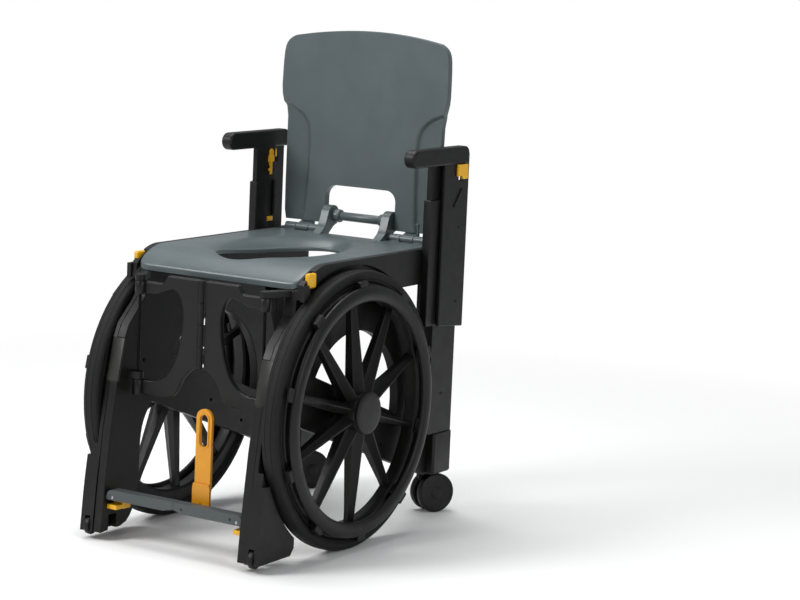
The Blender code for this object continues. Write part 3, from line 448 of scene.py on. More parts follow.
def eased(points, steps=4):
    """The open line through the points, drawn as a smooth curve."""
    line = [Vector(point) for point in points]
    drawn = []
    for index in range(len(line) - 1):
        before = line[max(index - 1, 0)]
        start, end = line[index], line[index + 1]
        after = line[min(index + 2, len(line) - 1)]
        for step in range(steps):
            t = step / steps
            place = 0.5 * (
                2 * start
                + (end - before) * t
                + (2 * before - 5 * start + 4 * end - after) * t * t
                + (3 * start - before - 3 * end + after) * t**3
            )
            drawn.append(tuple(place))
    return drawn + [tuple(line[-1])]


def flatten(piece):
    """Turns the object with its modifiers into a plain mesh and removes the tools it used."""
    tools = [change.object for change in piece.modifiers if change.type == "BOOLEAN"]
    bpy.context.view_layer.update()
    graph = bpy.context.evaluated_depsgraph_get()
    mesh = bpy.data.meshes.new_from_object(piece.evaluated_get(graph), depsgraph=graph)
    old = piece.data
    piece.modifiers.clear()
    piece.data = mesh
    bpy.data.meshes.remove(old)
    for tool in tools:
        bpy.data.objects.remove(tool, do_unlink=True)
    return piece


def change_by(piece, operation, *tools):
    for tool in tools:
        change = piece.modifiers.new(tool.name, "BOOLEAN")
        change.operation = operation
        change.solver = "EXACT"
        change.object = tool
    return flatten(piece)


def cut(piece, *tools):
    return change_by(piece, "DIFFERENCE", *tools)


def join(piece, *tools):
    return change_by(piece, "UNION", *tools)


def round_edges(piece, width, segments=3, angle=32, merge=0.00005):
    """Cleans the faces and rounds every edge sharper than the angle."""
    work = bmesh.new()
    work.from_mesh(piece.data)
    bmesh.ops.remove_doubles(work, verts=work.verts, dist=merge)
    bmesh.ops.dissolve_limit(
        work, angle_limit=math.radians(1.0), verts=work.verts, edges=work.edges, use_dissolve_boundaries=False
    )
    work.to_mesh(piece.data)
    work.free()
    piece.data.shade_smooth()
    if width:
        change = piece.modifiers.new("edges", "BEVEL")
        change.width = width
        change.segments = segments
        change.limit_method = "ANGLE"
        change.angle_limit = math.radians(angle)
        change.use_clamp_overlap = True
        change.harden_normals = True
        change.miter_outer = "MITER_ARC"
        flatten(piece)
    return piece


def move(piece, offset):
    piece.data.transform(Matrix.Translation(Vector(offset)))
    return piece


def finished(piece, body, finish, *nodes, placed=False):
    """Gives the piece its place, material, slot and body, and the CAD nodes it stands for."""
    if not placed:
        move(piece, (0, axle_y, 0))
    piece.data.materials.clear()
    piece.data.materials.append(FINISHES[finish])
    for face in piece.data.polygons:
        face.material_index = 0
    if nodes:
        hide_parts(*nodes)
    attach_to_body(piece, body)
    return piece


def copied(node, width=0.0008, segments=2, body=None, name=None):
    """A copy of the CAD node with clean faces and rounded edges, standing for it."""
    source = frame["nodes"][node]
    mesh = source.data.copy()
    piece = bpy.data.objects.new(name or node + "_moulding", mesh)
    bpy.context.scene.collection.objects.link(piece)
    if mesh.has_custom_normals:
        bpy.context.view_layer.update()
    round_edges(piece, width, segments)
    return finished(piece, body or source["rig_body"], slot_of(node), node, placed=True)


# Geometry Nodes


def open_tree(name, inputs):
    """A geometry tree with named inputs of (name, socket type, default)."""
    tree = bpy.data.node_groups.new(name, "GeometryNodeTree")
    tree.interface.new_socket("Geometry", in_out="INPUT", socket_type="NodeSocketGeometry")
    for label, kind, default in inputs:
        socket = tree.interface.new_socket(label, in_out="INPUT", socket_type=kind)
        if default is not None:
            socket.default_value = default
    tree.interface.new_socket("Geometry", in_out="OUTPUT", socket_type="NodeSocketGeometry")
    given = tree.nodes.new("NodeGroupInput").outputs
    return tree, given


def close_tree(tree, geometry, material):
    real = add_node(tree, "GeometryNodeRealizeInstances", links={"Geometry": geometry})
    dressed = add_node(
        tree, "GeometryNodeSetMaterial", links={"Geometry": real.outputs[0], "Material": material},
    )
    out = tree.nodes.new("NodeGroupOutput")
    tree.links.new(dressed.outputs[0], out.inputs[0])


def ring_tree():
    """Repeats the mesh round an axis along X through a centre."""
    inputs = [
        ("Count", "NodeSocketInt", 10),
        ("Start", "NodeSocketFloat", 0.0),
        ("Centre", "NodeSocketVector", (0.0, 0.0, 0.0)),
        ("Material", "NodeSocketMaterial", None),
    ]
    tree, given = open_tree("repeat_round_axle", inputs)
    points = add_node(tree, "GeometryNodePoints", links={"Count": given["Count"]})
    index = add_node(tree, "GeometryNodeInputIndex")
    step = add_node(tree, "ShaderNodeMath", {"operation": "DIVIDE", 0: 2 * math.pi}, {1: given["Count"]})
    angle = add_node(
        tree, "ShaderNodeMath", {"operation": "MULTIPLY_ADD"}, {
            0: index.outputs[0], 1: step.outputs[0], 2: given["Start"],
        }
    )
    turn = add_node(tree, "ShaderNodeCombineXYZ", links={"X": angle.outputs[0]})
    copies = add_node(
        tree,
        "GeometryNodeInstanceOnPoints",
        links={"Points": points.outputs[0], "Instance": given["Geometry"], "Rotation": turn.outputs[0]},
    )
    place = add_node(
        tree, "GeometryNodeTransform", links={"Geometry": copies.outputs[0], "Translation": given["Centre"]}
    )
    close_tree(tree, place.outputs[0], given["Material"])
    return tree


def points_tree():
    """Sets a copy of another object at each point of the mesh, turned by one rotation."""
    inputs = [
        ("Source", "NodeSocketObject", None),
        ("Turn", "NodeSocketVector", (0.0, 0.0, 0.0)),
        ("Size", "NodeSocketFloat", 1.0),
        ("Material", "NodeSocketMaterial", None),
    ]
    tree, given = open_tree("repeat_at_points", inputs)
    source = add_node(tree, "GeometryNodeObjectInfo", links={"Object": given["Source"]})
    copies = add_node(
        tree,
        "GeometryNodeInstanceOnPoints",
        links={
            "Points": given["Geometry"],
            "Instance": source.outputs["Geometry"],
            "Rotation": given["Turn"],
            "Scale": given["Size"],
        },
    )
    close_tree(tree, copies.outputs[0], given["Material"])
    return tree


def row_tree():
    """Repeats the mesh in a straight row."""
    inputs = [
        ("Count", "NodeSocketInt", 8),
        ("Pitch", "NodeSocketVector", (0.0, 0.0, 0.006)),
        ("Material", "NodeSocketMaterial", None),
    ]
    tree, given = open_tree("repeat_in_row", inputs)
    line = add_node(tree, "GeometryNodeMeshLine", links={"Count": given["Count"], "Offset": given["Pitch"]})
    copies = add_node(
        tree, "GeometryNodeInstanceOnPoints", links={"Points": line.outputs[0], "Instance": given["Geometry"]}
    )
    close_tree(tree, copies.outputs[0], given["Material"])
    return tree


TREES = {}


def grow(piece, tree_name, settings):
    """Runs a tree on the piece and keeps the result as a plain mesh."""
    builders = {"ring": ring_tree, "points": points_tree, "row": row_tree}
    if tree_name not in TREES:
        TREES[tree_name] = builders[tree_name]()
    tree = TREES[tree_name]
    change = piece.modifiers.new(tree_name, "NODES")
    change.node_group = tree
    sockets = {item.name: item.identifier for item in tree.interface.items_tree if item.in_out == "INPUT"}
    for label, value in settings.items():
        change[sockets[label]] = value
    return flatten(piece)


# Frames


def leg_line():
    """Front edge of the leg from the floor up to the corner under the seat's front."""
    leg = [(-0.268, 0.015), (-0.260, 0.095), (-0.246, 0.205), (-0.231, 0.2875), (-0.213, 0.3655)]
    return leg + [(-0.2015, 0.390), (-0.163, 0.4285), (-0.1555, 0.4375)]


def strip_pocket(ends):
    """Cutter for the light strip's bed between the two seams of the leg's front edge."""
    return prism(
        "strip_pocket", [(-0.261, 0.2875), (-0.2265, 0.2875), (-0.2085, 0.3655), (-0.243, 0.3655)], "X", ends,
    )


def seat_fall(y):
    """Height of the seat's top, which bends down over its front."""
    if y >= seat_bend:
        return seat_top
    return seat_top - seat_drop * ((seat_bend - y) / (seat_bend - seat_front)) ** 2


def seat_line(offset, steps=14):
    """Points along the seat's falling front, lowered by the offset."""
    points = [seat_front + 0.074 * step / steps for step in range(steps + 1)]
    return [(y, seat_fall(y) - offset) for y in points]


def frame_plate(side):
    """Inner plate of one side: leg, corner, rail, beam past the axle and rear column."""
    word = "left" if side > 0 else "right"
    outline = leg_line() + seat_line(0.0123)
    outline += [(0.312, 0.5127), (0.312, rail_top), (column_y[1], rail_top), (column_y[1], column_foot)]
    outline += [(0.3127, column_foot), (0.3127, 0.080)]
    outline += eased([(-0.128, 0.239), (-0.150, 0.205), (-0.158, 0.171), (-0.160, 0.110), (-0.165, 0.080)], 3)
    outline += eased([(-0.172, 0.052), (-0.185, 0.032), (-0.205, 0.020), (-0.222, 0.018)], 3)
    outline += [(-0.222, 0.045), (-0.245, 0.045), (-0.245, 0.017)]
    plate = prism(word + "_frame_plate", outline, "X", (side * plate_x[0], side * plate_x[1]))
    through = (side * 0.120, side * 0.185)
    tilt = math.atan(-0.375)
    dip = math.asin((0.292 - 0.375 * 0.055 - 0.240) * math.cos(tilt) / 0.148)
    arch = arc((0.055, 0.240), 0.148, math.degrees(tilt + dip), math.degrees(tilt + math.pi - dip), 44)
    corner = [(0.205, 0.459), (0.284, 0.459), (0.284, 0.270)]
    corner += eased([(0.264, 0.300), (0.240, 0.370), (0.216, 0.425), (0.205, 0.459)], 3)[:-1]
    tools = [
        prism("arch", arch, "X", through), prism("corner_window", corner, "X", through),
        strip_pocket(through),
    ]
    for index, (y, z) in enumerate(((0.055, 0.217), (0.155, 0.163), (-0.155, 0.319), (-0.170, 0.281))):
        tools.append(rod("plate_hole_%d" % index, "X", (0, y, z), 0.0032, through, 20))
    cut(plate, *tools)
    round_edges(plate, bpy.context.scene.chair_sizes.edge * 0.7)
    boss = lathe(
        word + "_axle_boss",
        [
            (0.0086, side * 0.168), (0.020, side * 0.168), (0.020, side * 0.1765), (0.019, side * 0.1777),
            (0.0086, side * 0.1777),
        ],
        "X",
        (0, 0, axle_z),
        48,
    )
    return plate, boss


def hinge_lugs(side):
    """The two lugs that carry the pin of the folding front wall."""
    word = "left" if side > 0 else "right"
    made = []
    for label, attach, ends in (
        ("upper", [(0.168, -0.145), (0.153, -0.140)], (0.4703, 0.4817)),
        ("lower", [(0.154, -0.199), (0.154, -0.179)], (0.2903, 0.3043)),
    ):
        centre = (hinge_x, wall_y)
        direction = math.degrees(math.atan2(attach[0][1] - centre[1], attach[0][0] - centre[0]))
        outline = arc(centre, 0.010, direction + 90, direction + 270, 24) + attach
        lug = prism(word + "_" + label + "_lug", [(side * x, y) for x, y in outline], "Z", ends)
        made.append(round_edges(lug, 0.0008, 2))
    return made


def outer_moulding(side):
    """Outer cover: boot, leg, corner block, rail over the wheel and rear column skin."""
    word = "left" if side > 0 else "right"
    outline = [(-0.253, 0.150)] + leg_line()[2:] + seat_line(0.001)
    outline += [
        (column_y[1], rail_top), (column_y[1], column_foot), (column_y[0], column_foot), (column_y[0], 0.459),
    ]
    outline += arc((0, axle_z), 0.236, 60, 122, 40)
    outline += eased([(-0.128, 0.420), (-0.168, 0.352), (-0.193, 0.278), (-0.200, 0.225), (-0.222, 0.150)], 4)
    cover = prism(word + "_cover", outline, "X", (side * cover_x[0], side * cover_x[1]))
    boot = eased([(-0.270, 0.015), (-0.262, 0.095), (-0.2535, 0.152)], 4) + [(-0.222, 0.152)]
    boot += arc((0, axle_z), arch_radius, 203.5, 232, 30) + [(-0.161, 0.030), (-0.172, 0.017)]
    foot = prism(word + "_boot", boot, "X", (side * cover_x[0], side * 0.198))
    join(cover, foot)
    join(cover, block("corner", (side * 0.188, side * 0.1965), (-0.1555, -0.138), (0.4395, 0.493)))
    inner, outer = side * cover_thin_x, side * 0.25
    profile = [(0, inner), (arch_radius, inner), (arch_radius, outer), (0, outer)]
    arch = lathe("wheel_arch", profile, "X", (0, 0, axle_z), 180, None)
    under = seat_line(0.0123) + [
        (0.2853, 0.5127), (0.2853, 0.560), (-0.180, 0.560), (-0.180, seat_fall(-0.150) - 0.0123),
    ]
    tools = [prism("seat_rest", under, "X", (side * 0.120, side * 0.1783))]
    tools.append(block("button_pocket", (side * 0.1803, side * 0.210), (-0.1403, -0.1157), (0.4867, 0.560)))
    tools.append(block("roller_slot", (side * 0.1766, side * 0.1884), (-0.300, -0.239), (-0.010, 0.043)))
    cut(cover, arch)
    cut(cover, strip_pocket((side * 0.160, side * 0.200)), *tools)
    round_edges(cover, bpy.context.scene.chair_sizes.edge * 0.8)
    return cover


class CHAIR_OT_build_frames(bpy.types.Operator):
    """Side frames with their covers, leg strips, castor housings, lugs and blocks"""

    bl_idname = "chair.build_frames"
    bl_label = "Side frames"

    def execute(self, context):
        for word, side in SIDES.items():
            body = word + "_frame"
            plate, boss = frame_plate(side)
            finished(plate, body, "black_plastic", word + "_side_frame")
            finished(boss, body, "black_plastic")
            for lug in hinge_lugs(side):
                finished(lug, body, "black_plastic")
            finished(outer_moulding(side), body, "black_plastic", word + "_outer_cover")
            strip = copied(word + "_leg_strip", 0.0006)
            # The strip takes the paler material, a painted sheen on the leg's front edge
            strip.data.materials[0] = FINISHES["painted_sheen_strip"]
            copied(word + "_castor_housing", 0.0022, 3)
            copied(word + "_pivot_block", 0.0008)
            for node in ("_roller_pin", "_wall_pin", "_axle", "_footrest_pin"):
                copied(word + node, 0.0004, 1)
            copied(word + "_lower_catch", 0.0006)
        return {"FINISHED"}


# Wheels


def wheel_rim(side):
    """Wheel rim: a channel section with rounded lips."""
    steps = bpy.context.scene.chair_sizes.wheel_steps
    section = [
        (0.2317, 0.187), (0.2317, 0.209), (0.2300, 0.2112), (0.226, 0.212), (0.2225, 0.2116),
        (0.2195, 0.2085),
    ]
    section += [
        (0.2140, 0.2072), (0.2112, 0.2085), (0.2090, 0.2112), (0.2070, 0.2110), (0.2052, 0.2080),
        (0.205, 0.200),
    ]
    section += [(0.205, 0.188), (0.209, 0.184), (0.226, 0.184)]
    return lathe("rim", [(radius, side * x) for radius, x in section], "X", (0, 0, axle_z), steps, 40)


def wheel_hub(side):
    section = [
        (0.0084, 0.178), (0.022, 0.178), (0.0235, 0.1795), (0.036, 0.189), (0.037, 0.191), (0.037, 0.229),
    ]
    section += [(0.0355, 0.2315), (0.030, 0.2347), (0.0084, 0.2347)]
    return lathe("hub", [(radius, side * x) for radius, x in section], "X", (0, 0, axle_z), 72, 40)


def spoke_shape(side):
    """One spoke along +Y: a wedge with a raised ridge and hollow flanks, wide at the hub."""
    stations = ((0.030, 1.30, 0.1935, 0.2325), (0.045, 1.06, 0.1935, 0.2290), (0.070, 1.0, 0.1935, 0.2255))
    stations += ((0.110, 0.88, 0.193, 0.2205), (0.150, 0.76, 0.1925, 0.2155), (0.185, 0.66, 0.192, 0.2110))
    stations += ((0.200, 0.68, 0.1915, 0.2088), (0.2075, 0.80, 0.191, 0.2078))
    half_width, vertices, faces = 0.0098, [], []
    section = (
        (-1.0, 0.0), (-0.94, -0.03), (0.94, -0.03), (1.0, 0.0), (0.97, 0.50), (0.55, 0.66), (0.24, 0.93),
    )
    section += ((0.10, 1.0), (-0.10, 1.0), (-0.24, 0.93), (-0.55, 0.66), (-0.97, 0.50))
    for radius, width, low, high in stations:
        for across, rise in section:
            x = low + (high - low) * max(rise, 0.0) + (0.0006 if rise < 0 else 0)
            vertices.append((side * x, radius, across * half_width * width))
    count = len(section)
    for row in range(len(stations) - 1):
        for index in range(count):
            after = (index + 1) % count
            a, b = row * count, (row + 1) * count
            faces.append((a + index, a + after, b + after, b + index))
    faces.append(tuple(range(count)))
    faces.append(tuple(range((len(stations) - 1) * count, len(stations) * count)))
    return mesh_object("spokes", vertices, faces, 30)


def bracket_shape(side):
    """One pad of the hand rim along +Y, with a lip at its outer end."""
    pad = block("pad", (side * 0.2125, side * 0.2275), (0.2065, 0.2312), (-0.0125, 0.0125))
    join(pad, block("lip", (side * 0.2162, side * 0.2275), (0.2300, 0.2375), (-0.0125, 0.0125)))
    return round_edges(pad, 0.0018, 3)


def tyre_shape(side):
    """Tyre with flat tread, two shallow grooves and a raised sidewall ring."""
    steps = bpy.context.scene.chair_sizes.wheel_steps
    half = [
        (0.232, 0.0110), (0.2335, 0.0125), (0.2362, 0.0140), (0.2380, 0.0143), (0.2392, 0.0158),
        (0.2440, 0.0169),
    ]
    half += [
        (0.2480, 0.0165), (0.2512, 0.0142), (0.2530, 0.0105), (0.2537, 0.0072), (0.2531, 0.0066),
        (0.2531, 0.0056),
    ]
    half += [(0.2539, 0.0050), (0.2540, 0.0015)]
    section = [(radius, 0.198 - x) for radius, x in half]
    section += [(radius, 0.198 + x) for radius, x in reversed(half)]
    return lathe("tyre", [(radius, side * x) for radius, x in section], "X", (0, 0, axle_z), steps, 28)


def hand_rim_shape(side):
    """Hand rim: an oval tube, rounder on its outer face."""
    steps = bpy.context.scene.chair_sizes.wheel_steps
    section = []
    for step in range(28):
        angle = 2 * math.pi * step / 28
        reach = 0.0075 if math.sin(angle) > 0 else 0.0070
        section.append((0.214 + 0.014 * math.cos(angle), side * (0.226 + reach * math.sin(angle))))
    return lathe("hand_rim", section, "X", (0, 0, axle_z), steps, 60)


class CHAIR_OT_build_wheels(bpy.types.Operator):
    """Drive wheels with spokes, tyres, hand rims and hub caps"""

    bl_idname = "chair.build_wheels"
    bl_label = "Drive wheels"

    def execute(self, context):
        count = context.scene.chair_sizes.spoke_count
        for word, side in SIDES.items():
            body = word + "_wheel"
            black = FINISHES["black_plastic"]
            start = math.radians(21)
            centre = (0.0, 0.0, axle_z)
            ring = {"Count": count, "Start": start, "Centre": centre, "Material": black}
            rim = wheel_rim(side)
            rim.name = word + "_wheel_rim"
            finished(rim, body, "black_plastic", word + "_drive_wheel")
            spokes = grow(spoke_shape(side), "ring", ring)
            spokes.name = word + "_spokes"
            finished(spokes, body, "black_plastic")
            hub = wheel_hub(side)
            hub.name = word + "_hub"
            finished(hub, body, "black_plastic")
            tyre = tyre_shape(side)
            tyre.name = word + "_tyre_tread"
            finished(tyre, body, "tyre_rubber", word + "_tyre")
            hand = hand_rim_shape(side)
            hand.name = word + "_hand_ring"
            finished(hand, body, "black_plastic", word + "_hand_rim")
            pads = grow(bracket_shape(side), "ring", ring)
            pads.name = word + "_hand_ring_pads"
            finished(pads, body, "black_plastic")
            cap = [
                (0.0, 0.2352), (0.0387, 0.2352), (0.0387, 0.2385), (0.0380, 0.2402), (0.0362, 0.2411),
                (0.030, 0.2415),
            ]
            cap += [(0.015, 0.2418), (0.0, 0.2419)]
            disc = lathe(word + "_hub_disc", [(radius, side * x) for radius, x in cap], "X", centre, 72, 50)
            finished(disc, body, "black_plastic", word + "_hub_cap")
        return {"FINISHED"}


class CHAIR_OT_build_castors(bpy.types.Operator):
    """Castor brackets, twin castor discs and the small front rollers"""

    bl_idname = "chair.build_castors"
    bl_label = "Castors and rollers"

    def execute(self, context):
        turn = Matrix.Rotation(math.radians(-27), 4, "Z")
        for word, side in SIDES.items():
            copied(word + "_castor_bracket", 0.0008)
            half = [
                (0.004, 0.0054), (0.034, 0.0054), (0.0368, 0.0062), (0.038, 0.0084), (0.038, 0.0165),
                (0.0372, 0.0188),
            ]
            half += [
                (0.0350, 0.0200), (0.0325, 0.0200), (0.0312, 0.0190), (0.0300, 0.0186), (0.012, 0.0186),
                (0.0112, 0.0194),
            ]
            half += [(0.009, 0.0200), (0.0, 0.0200)]
            low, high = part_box(word + "_castor_wheels")
            place = Matrix.Translation((low + high) / 2) @ turn
            discs = None
            for sign in (-1, 1):
                disc = lathe("disc", [(radius, sign * x) for radius, x in half], "X", (0, 0, 0), 64, 35)
                disc.name = word + ("_castor_disc_inner" if sign < 0 else "_castor_disc_outer")
                disc.data.transform(place)
                nodes = (word + "_castor_wheels",) if discs is None else ()
                finished(disc, word + "_castor_wheels", "black_plastic", *nodes, placed=True)
                discs = disc
            copied(word + "_front_roller", 0.0008)
        return {"FINISHED"}


# Seat and back


def egg_point(angle, half_width, front, rear):
    middle, length = (front + rear) / 2, (rear - front) / 2
    taper = 1 - 0.16 * math.sin(angle)
    return Vector((half_width * math.cos(angle) * taper, middle + length * math.sin(angle)))


def egg_along(heading, half_width, front, rear, centre):
    """Where a ray from the centre crosses the oval."""
    low, high = heading - 0.6, heading + 0.6
    for _ in range(40):
        middle = (low + high) / 2
        offset = egg_point(middle, half_width, front, rear) - centre
        turned = math.atan2(offset.y, offset.x)
        gap_left = (turned - heading + math.pi) % (2 * math.pi) - math.pi
        if gap_left < 0:
            low = middle
        else:
            high = middle
    return egg_point(middle, half_width, front, rear)


def seat_outline(count):
    """Points of the seat's rounded outline, evenly spaced."""
    centre = Vector((0.0, 0.0675))
    dense = []
    for step in range(2880):
        angle = 2 * math.pi * step / 2880
        power = 30
        across, along = abs(math.cos(angle) / 0.178), abs(math.sin(angle) / 0.2175)
        reach = (across**power + along**power) ** (-1 / power)
        dense.append(centre + reach * Vector((math.cos(angle), math.sin(angle))))
    lengths = [0.0]
    for index in range(len(dense)):
        lengths.append(lengths[-1] + (dense[(index + 1) % len(dense)] - dense[index]).length)
    points, index = [], 0
    for step in range(count):
        goal = lengths[-1] * step / count
        while lengths[index + 1] < goal:
            index += 1
        points.append(dense[index])
    return points


def seat_shell():
    """Seat as rings from its edge in over the flat, down the dish, and back underneath."""
    count = 176
    depth = bpy.context.scene.chair_sizes.dish_depth
    centre = Vector((0.0, 0.060))
    outline = seat_outline(count)
    headings = [math.atan2(point.y - centre.y, point.x - centre.x) for point in outline]
    dish = [egg_along(heading, 0.122, -0.120, 0.250, centre) for heading in headings]
    hole = [egg_along(heading, 0.088, -0.105, 0.215, centre) for heading in headings]
    rings = []

    def ring(points, fall, dip=0.0):
        """The dip is a share of the dish's depth, which is small at its front and full behind the middle."""
        row = []
        for point in points:
            share = min(max((point.y + 0.100) / 0.220, 0.0), 1.0)
            deep = depth * (0.28 + 0.72 * share * share * (3 - 2 * share))
            row.append((point.x, point.y, seat_fall(point.y) - fall - dip * deep))
        rings.append(row)

    def between(share, inset=0.0):
        line = []
        for start, end in zip(outline, dish):
            way = end - start
            line.append(start + way * share + way.normalized() * inset)
        return line

    edge = 0.0035
    for step in range(6):
        turn = math.pi / 2 * step / 5
        ring(between(0, edge * (1 - math.cos(turn))), edge * (1 - math.sin(turn)))
    for step in range(1, 8):
        ring(between(step / 8, edge * (1 - step / 8)), 0.0)
    for step in range(13):
        share = step / 12
        line = [outer + (inner - outer) * share for outer, inner in zip(dish, hole)]
        ring(line, 0.0, 0.16 * share + 0.84 * share**1.9)
    centre_line = [point - centre for point in hole]
    for step in range(1, 6):
        turn = math.pi / 2 * step / 5
        line = [point - way.normalized() * 0.003 * math.sin(turn) for point, way in zip(hole, centre_line)]
        ring(line, 0.0035 * (1 - math.cos(turn)), 1.0)
    line = [point - way.normalized() * 0.003 for point, way in zip(hole, centre_line)]
    ring(line, 0.0070, 1.0)
    ring(hole, 0.0078, 1.0)
    ring(dish, seat_thickness)
    ring(between(0, 0.0015), seat_thickness)
    ring(between(0), seat_thickness - 0.0015)
    vertices = [point for loop in rings for point in loop]
    faces = []
    for index in range(len(rings)):
        after = (index + 1) % len(rings)
        for step in range(count):
            along = (step + 1) % count
            start, end = index * count, after * count
            faces.append((start + step, start + along, end + along, end + step))
    return mesh_object("seat_shell", vertices, faces, 45)


def ear_shape(side):
    """Swan-necked ear that carries the crossbar, with a round hooked top."""
    word = "left" if side > 0 else "right"
    ear = eased([(0.256, 0.521), (0.283, 0.5145), (0.299, 0.527), (0.312, 0.537), (0.325, 0.542)], 5)[:-1]
    ear += arc((0.310, 0.558), 0.0192, -38, 158, 26)
    ear += eased([(0.288, 0.553), (0.281, 0.539), (0.269, 0.529), (0.256, 0.521)], 5)[:-1]
    piece = prism(word + "_ear", ear, "X", (side * 0.060, side * 0.078))
    return round_edges(piece, 0.0022, 3)


class CHAIR_OT_build_seat(bpy.types.Operator):
    """Seat shell with its hinge lugs, ears and crossbar"""

    bl_idname = "chair.build_seat"
    bl_label = "Seat"

    def execute(self, context):
        finished(seat_shell(), "seat_unit", "slate_plastic", "seat")
        for word, side in SIDES.items():
            for index, (start, end) in enumerate(((0.079, 0.105), (0.135, 0.160))):
                lug = arc((0.296, 0.530), 0.008, -50, 215, 26)
                lug += [(0.281, 0.5240), (0.281, 0.5137), (0.2935, 0.5137)]
                piece = prism(word + "_seat_lug_%d" % index, lug, "X", (side * start, side * end))
                finished(round_edges(piece, 0.0009, 2), "seat_unit", "slate_plastic")
            finished(ear_shape(side), "seat_unit", "slate_plastic")
            boss = [
                (0.0, 0.0440), (0.0095, 0.0440), (0.0118, 0.0455), (0.0126, 0.0480), (0.0126, 0.0596),
                (0.0, 0.0596),
            ]
            boss = [(radius, side * x) for radius, x in boss]
            boss = lathe(word + "_bar_boss", boss, "X", (0, 0.314, 0.557), 40, 40)
            finished(boss, "seat_unit", "slate_plastic")
            copied(word + "_back_hinge_pin", 0.0004, 1)
        bar = rod("crossbar_tube", "X", (0, 0.314, 0.557), 0.0085, (-0.0597, 0.0597), 48)
        finished(bar, "seat_unit", "slate_plastic", "crossbar")
        return {"FINISHED"}


def interpolate(stops, value):
    """Smooth reading of a table of (value, result)."""
    for index in range(len(stops) - 1):
        (low, start), (high, end) = stops[index], stops[index + 1]
        if value <= high or index == len(stops) - 2:
            share = min(max((value - low) / (high - low), 0.0), 1.0)
            return start + (end - start) * share
    return stops[-1][1]


def back_width(z):
    stops = (
        (0.535, 0.168), (0.560, 0.173), (0.620, 0.1745), (0.745, 0.176), (0.766, 0.1795), (0.776, 0.1830),
    )
    stops += (
        (0.790, 0.1862), (0.806, 0.1875), (0.835, 0.1872), (0.860, 0.1866), (0.880, 0.1855), (0.892, 0.1838),
    )
    stops += ((0.900, 0.1810), (0.906, 0.1770), (0.9105, 0.1715), (0.914, 0.1630))
    return interpolate(stops, z)


def wing_line(z):
    """How far from the middle the panel's raised part ends at a height."""
    stops = (
        (0.542, 0.131), (0.560, 0.1275), (0.620, 0.1238), (0.700, 0.1230), (0.722, 0.1252), (0.738, 0.1310),
    )
    stops += ((0.750, 0.1420), (0.760, 0.1570), (0.768, 0.1740), (0.776, 0.1950))
    return interpolate(stops, z)


def back_panel():
    """Backrest panel, hollowed across, arched at its top, with its lower sides set back as wings."""
    setback = bpy.context.scene.chair_sizes.wing_setback
    columns, rows = 120, 124
    heights = [back_foot + (back_top - back_foot) * (row / rows) ** 0.94 for row in range(rows + 1)]
    vertices = []
    for depth in (0.0, 0.014):
        for z in heights:
            climb = (z - back_foot) / 0.372
            slope = (wing_line(z + 0.002) - wing_line(z - 0.002)) / 0.004 if z < wing_top else 0.0
            for column in range(columns + 1):
                x = (2 * column / columns - 1) * back_width(z)
                drop = 0.020 * (x / 0.187) ** 2 * climb**4
                y = 0.309 + 0.009 * climb + depth - 0.012 * (x / 0.187) ** 2
                beyond = (abs(x) - wing_line(z)) / math.hypot(1.0, slope) if z < wing_top else -1.0
                step = min(max(beyond / 0.006 + 0.5, 0.0), 1.0)
                fall = step * step * (3 - 2 * step)
                fade = min(max((wing_top - z) / 0.012, 0.0), 1.0)
                y += setback * fall * fade * (1.0 if depth == 0 else 0.55)
                vertices.append((x, y, z - drop))
    width = columns + 1
    sheet = (rows + 1) * width
    faces = []
    for row in range(rows):
        for column in range(columns):
            a = row * width + column
            corners = (a, a + 1, a + width + 1, a + width)
            faces.append(corners)
            faces.append(tuple(corner + sheet for corner in corners))
    rim = list(range(width)) + [row * width + columns for row in range(1, rows + 1)]
    rim += [rows * width + column for column in range(columns - 1, -1, -1)]
    rim += [row * width for row in range(rows - 1, 0, -1)]
    for index, start in enumerate(rim):
        end = rim[(index + 1) % len(rim)]
        faces.append((start, end, end + sheet, start + sheet))
    panel = mesh_object("back_panel", vertices, faces)
    corner, half, top = 0.022, 0.080, 0.616
    window = [(-half, 0.500), (half, 0.500)] + arc((half - corner, top - corner), corner, 0, 90, 14)
    window += arc((corner - half, top - corner), corner, 90, 180, 14)
    cut(panel, prism("back_window", window, "Y", (0.250, 0.380)))
    panel.data.shade_smooth()
    change = panel.modifiers.new("edges", "BEVEL")
    change.width = 0.0032
    change.segments = 4
    change.limit_method = "ANGLE"
    change.angle_limit = math.radians(62)
    change.harden_normals = False
    flatten(panel)
    panel.data.shade_smooth()
    return panel


class CHAIR_OT_build_back(bpy.types.Operator):
    """Backrest panel with its two hinge lugs"""

    bl_idname = "chair.build_back"
    bl_label = "Backrest"

    def execute(self, context):
        finished(back_panel(), "backrest", "slate_plastic", "backrest")
        for word, side in SIDES.items():
            lug = arc((0.296, 0.530), 0.008, 75, 300, 26)
            lug += [(0.313, 0.530), (0.316, 0.560), (0.308, 0.560), (0.3075, 0.541)]
            piece = prism(word + "_back_lug", lug, "X", (side * 0.1055, side * 0.1345))
            finished(round_edges(piece, 0.0009, 2), "backrest", "slate_plastic")
        return {"FINISHED"}


# Front wall and footrest


